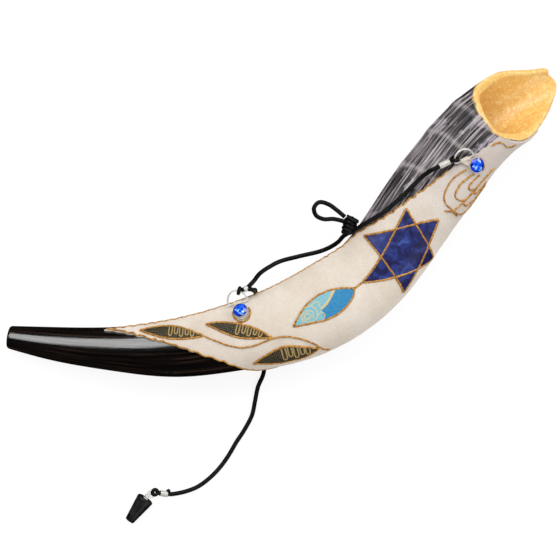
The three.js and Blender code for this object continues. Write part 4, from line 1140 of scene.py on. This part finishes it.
def tab_part(spec, place):
    """The tab: a loop round the bar and a tongue that the stone's rivet goes through."""
    turn = math.radians(spec["turn"])
    ds, dw = np.subtract(spec["stone"], spec["hinge"])
    stone_x = dw * math.cos(turn) - ds * math.sin(turn)
    stone_y = dw * math.sin(turn) + ds * math.cos(turn)
    far = stone_x + STONE_TAB - 0.02
    outer = [(far - 0.25 * i * i, RING_HEIGHT - (0.35 if i == 0 else 0)) for i in range(5)]
    outer += [(x, RING_HEIGHT) for x in np.linspace(far - 4.6, 2.4, 5)]
    outer += [(1.7, RING_HEIGHT + 0.03)]
    outer += [(TAB_LOOP * math.cos(a), RING_HEIGHT + TAB_LOOP * math.sin(a))
              for a in np.linspace(0.35, 1.5 * math.pi, 20)]
    outer += [(x, TAB_BASE) for x in np.linspace(0.8, far - 4, 6)]
    outer += [(far - 0.25 * i * i, TAB_BASE) for i in range(3, -1, -1)]
    half = TAB_WIDTH / 2
    across = np.linspace(-1, 1, 25)
    grid, marks = [], []
    for x, z in outer:
        disc = math.sqrt(max(0, STONE_TAB ** 2 - (x - stone_x) ** 2))
        blend = np.clip((x - 1) / max(stone_x - 1, 1), 0, 1)
        low = (1 - blend) * -half + blend * (stone_y - disc)
        high = (1 - blend) * half + blend * (stone_y + disc)
        y = (low + high) / 2 + across * (high - low) / 2
        grid.append(place(y, x + 0 * y, z))
        marks.append(np.stack([y, x + 0 * y, z + 0 * y], -1))
    grid, marks = np.array(grid).transpose(1, 0, 2), np.array(marks).transpose(1, 0, 2)
    return capped(grid, marks, {"along": np.full(grid.shape[0] * grid.shape[1] + 2, TAB_TONE)})


def build_hanger(side, spec):
    """A D-ring on its tab, with the stone that rivets it and the cord's eye on its bow."""
    ring_body = f"{side}_ring"
    origin, axis, reach, place = hanger_frame(spec)
    piece(f"{side}_tab", [tab_part(spec, place)], "leather", f"{side}_ring_tab", sharp=50)
    seat = on_leather(*spec["stone"], STONE_SEAT)
    up = unit(on_leather(*spec["stone"], STONE_SEAT + 1) - seat)
    cup = lathe([(0, -1.7), (1.2, -1.7), (1.2, 0), (3.6, 0), (4.05, 0.25), (4.2, 0.6),
                 (4.2, 0.95), (0, 1.0)], 48, seat, up, steps=2)
    piece(f"{side}_setting", [cup], "steel", f"{side}_stone_setting", sharp=50)
    points, faces, facet_glints = faceted_stone(seat, up)
    piece(f"{side}_crystal", [(points, faces, points, {"facet": facet_glints})], "crystal",
          f"{side}_stone", flat=True)
    angles = np.radians(np.linspace(*spec["surround"], 60) - spec["turn"])
    line = spec["stone"] + SURROUND_RADIUS * np.stack([np.sin(angles), np.cos(angles)], -1)
    piece(f"{side}_surround", [strip(line, 1.3, 130 if side == "mouth" else 135)], "gilt",
          f"{side}_stone_gilt")

    def in_ring(x, y):
        return origin + axis * x + reach * y
    outline = through([in_ring(x, y) for x, y in ring_outline()], 0.5, closed=True)
    piece(f"{side}_ring_wire", [tube(outline, WIRE, 14, closed=True)], "steel",
          f"{side}_d_ring", ring_body)
    angle = math.radians(spec["eye"])
    centre = in_ring(*bow_point(angle))
    tangent = unit(-axis * RING_WIDTH / 2 * math.sin(angle)
                   + reach * (RING_DEPTH - RING_CORNER) * math.cos(angle))
    level = np.cross(axis, reach)
    pull = unit(np.cross(tangent, level))
    direction = axis * spec["side"]
    eye = cord_eye(centre, pull, level, direction, COIL_START + spec["crimp"] + 0.6, 14)
    piece(f"{side}_eye", eye, "cord", f"{side}_cord_eye", ring_body)
    wound = coil(centre + direction * COIL_START, direction, spec["crimp"], 2.24 * COIL_WIRE)
    piece(f"{side}_coil", [wound], "steel", f"{side}_crimp", ring_body)


STONE_RINGS = {
    "table": (2.7, 3.6, 8, 0.0), "crown": (3.9, 3.05, 8, 0.5), "girdle": (4.9, 2.3, 16, 0.0),
    "belt": (4.9, 2.0, 16, 0.0), "foot": (3.9, 1.3, 16, 0.0)}    # radius, height, corners, turn


def faceted_stone(seat, up):
    """Points, flat faces and a painted glint for each facet of a round crystal: how bright a
    reflection is painted on it.
    """
    first = unit(np.cross(up, [0.2, 1.0, 0.1]))
    second = np.cross(up, first)
    points, starts = [], []
    for radius, height, count, shift in STONE_RINGS.values():
        starts.append(len(points))
        for k in range(count):
            angle = 2 * math.pi * (k + shift) / count
            points.append(seat + height * up + radius * (math.cos(angle) * first
                                                         + math.sin(angle) * second))
    table, crown, girdle, belt, foot = starts
    top, bottom = len(points), len(points) + 1
    points += [seat + STONE_RINGS[ring][1] * up for ring in ("table", "foot")]
    faces, facet_glints = [], []
    draw = np.random.default_rng(7)

    def face(corners, glint):
        faces.append(corners)
        facet_glints.append(float(np.clip(glint + draw.uniform(-0.45, 0.4), 0, 1)))
    # Painted reflections: the table and crown facets are painted bright, the facets at the girdle
    # and below it dark.
    for i in range(8):
        n = (i + 1) % 8
        low, middle, high = girdle + 2 * i, girdle + 2 * i + 1, girdle + (2 * i + 2) % 16
        face((top, table + i, table + n), 0.7)
        face((table + i, crown + i, table + n), 0.85)
        face((crown + i, middle, high), 0.12)
        face((crown + i, low, middle), 0.2)
        face((table + i, crown + (i + 7) % 8, low, crown + i), 0.5)
    for j in range(16):
        k = (j + 1) % 16
        face((girdle + j, belt + j, belt + k, girdle + k), 0.1)
        face((belt + j, foot + j, foot + k, belt + k), 0.1)
        face((bottom, foot + k, foot + j), 0.1)
    points = np.array(points)
    return points, facing_out(points, faces), facet_glints


# ---------------------------------------------------------------- stopper

STOPPER_WIDE = np.array([-93.5, -189.1, 6.2])
STOPPER_NARROW = np.array([-104.8, -204.6, 3.5])
STOPPER_RADII = (5.95, 3.3)
SCREW_RADIUS, SCREW_WIRE, SCREW_REACH = 1.6, 0.45, 2.7
STOPPER_LOOP = np.array([-87.2, -184.9, 5.6])
CRIMP_END = np.array([-78.2, -186.5, 2.1])
JUMP_RADIUS, JUMP_WIRE = 2.6, 0.45


def build_stopper():
    """The plug with its screw ring, and the link that the end of its cord is tied to."""
    outward = unit(STOPPER_WIDE - STOPPER_NARROW)
    length = np.linalg.norm(STOPPER_WIDE - STOPPER_NARROW)
    wide, narrow = STOPPER_RADII
    body = lathe([(0, 0), (narrow - 0.7, 0), (narrow - 0.2, 0.15), (narrow, 0.6),
                  (wide - 0.1, length - 1.6), (wide, length - 0.9), (wide - 0.15, length - 0.35),
                  (wide - 0.7, length), (1.6, length - 0.15), (0, length - 0.15)], 56,
                 STOPPER_NARROW, outward, steps=3)
    plug = piece("plug", [body], "plug", "stopper_plug", sharp=40)

    eye_centre = STOPPER_WIDE + outward * SCREW_REACH
    chain = unit(STOPPER_LOOP - eye_centre)
    lead = unit(CRIMP_END - STOPPER_LOOP)
    sideways = unit(chain - outward * (chain @ outward))
    screw_eye = circle(eye_centre, SCREW_RADIUS, sideways, outward)
    shank = STOPPER_WIDE + np.outer((-1.0, 0.5, SCREW_REACH - 1.3), outward)
    plate = lathe([(0, 0.02), (1.7, 0.02), (1.9, 0.2), (1.6, 0.45), (0, 0.45)], 28, STOPPER_WIDE,
                  outward, steps=2)
    screw = piece("screw_ring", [tube(screw_eye, SCREW_WIRE, 12, closed=True),
                                 tube(shank, SCREW_WIRE, 12), plate], "steel", "screw_eye",
                  sharp=50)
    across = unit(np.cross(np.cross(lead, chain), chain))
    jump = circle((eye_centre + STOPPER_LOOP) / 2, JUMP_RADIUS, chain, across)
    link = piece("link_ring", [tube(jump, JUMP_WIRE, 12, closed=True)], "steel", "jump_ring")

    side = unit(chain - lead * (chain @ lead))
    start = STOPPER_LOOP + lead * COIL_START
    run = np.linalg.norm(CRIMP_END - start)
    eye_parts = cord_eye(STOPPER_LOOP, lead, side, lead, COIL_START + run + 1.2, 16)
    beside = unit(np.cross(lead, [0, 0, 1.0]))
    nub = (CRIMP_END - lead * 1.5 - beside * 1.3
           + np.outer(np.linspace(0, 2.6, 8), lead * 0.9 - beside * 0.7))
    eye_parts.append(tube(nub, rounded(nub, 1.3, 0.6), 14))
    eye = piece("stopper_eye", eye_parts, "cord", "stopper_cord_eye")
    crimp = piece("stopper_coil", [coil(start, lead, run, 1.0)], "steel", "stopper_crimp")
    return [plug, screw, link, eye, crimp]


build_horn()
build_leather()
build_edges()
build_star()
build_leaves()
build_menorah()
for side, spec in HANGERS.items():
    build_hanger(side, spec)
stopper_pieces = build_stopper()

declare(carry_mouth, carry_mouth_path)
declare(carry_bell, carry_bell_path[::-1])
declare(bow, bow_path)
declare(tail, tail_path)

# ---------------------------------------------------------------- floor and light

WHITE = (1, 1, 1, 1)
FLOOR_SIZE = 6.0                 # metres
FLOOR_GLOW, FLOOR_GREY, SKY_STRENGTH = 0.87, 0.17, 0.45
SOFTBOXES = [                    # name, place and size in metres, watts
    ("key", (-0.45, 0.9, 1.45), (2.6, 1.1), 24),
    ("fill", (0.9, -1.3, 1.1), (1.6, 0.9), 9),
    ("bell_fill", (1.3, 0.8, 1.1), (0.9, 0.9), 12)]

half = FLOOR_SIZE / 2
floor_mesh = bpy.data.meshes.new("floor")
floor_mesh.from_pydata([(-half, -half, 0), (half, -half, 0), (half, half, 0), (-half, half, 0)],
                       [], [(0, 1, 2, 3)])
floor_mesh.materials.append(Paint(
    "floor", Base_Color=(FLOOR_GREY, FLOOR_GREY, FLOOR_GREY, 1), Roughness=0.9,
    Specular_IOR_Level=0.0, Emission_Color=WHITE, Emission_Strength=FLOOR_GLOW).material)
floor = bpy.data.objects.new("floor", floor_mesh)
floor.visible_glossy = False
bpy.context.scene.collection.objects.link(floor)

world = bpy.data.worlds.new("studio")
bpy.context.scene.world = world
world.use_nodes = True
background = world.node_tree.nodes["Background"]
background.inputs["Color"].default_value = WHITE
background.inputs["Strength"].default_value = SKY_STRENGTH
world.cycles_visibility.glossy = False
bpy.context.scene.view_settings.view_transform = "Standard"

for name, location, size, power in SOFTBOXES:
    data = bpy.data.lights.new(name, "AREA")
    data.shape = "RECTANGLE"
    data.size, data.size_y = size
    data.energy = power
    light = bpy.data.objects.new(name, data)
    light.location = location
    light.rotation_mode = "QUATERNION"
    light.rotation_quaternion = (-Vector(location)).to_track_quat("-Z", "Y")
    bpy.context.scene.collection.objects.link(light)
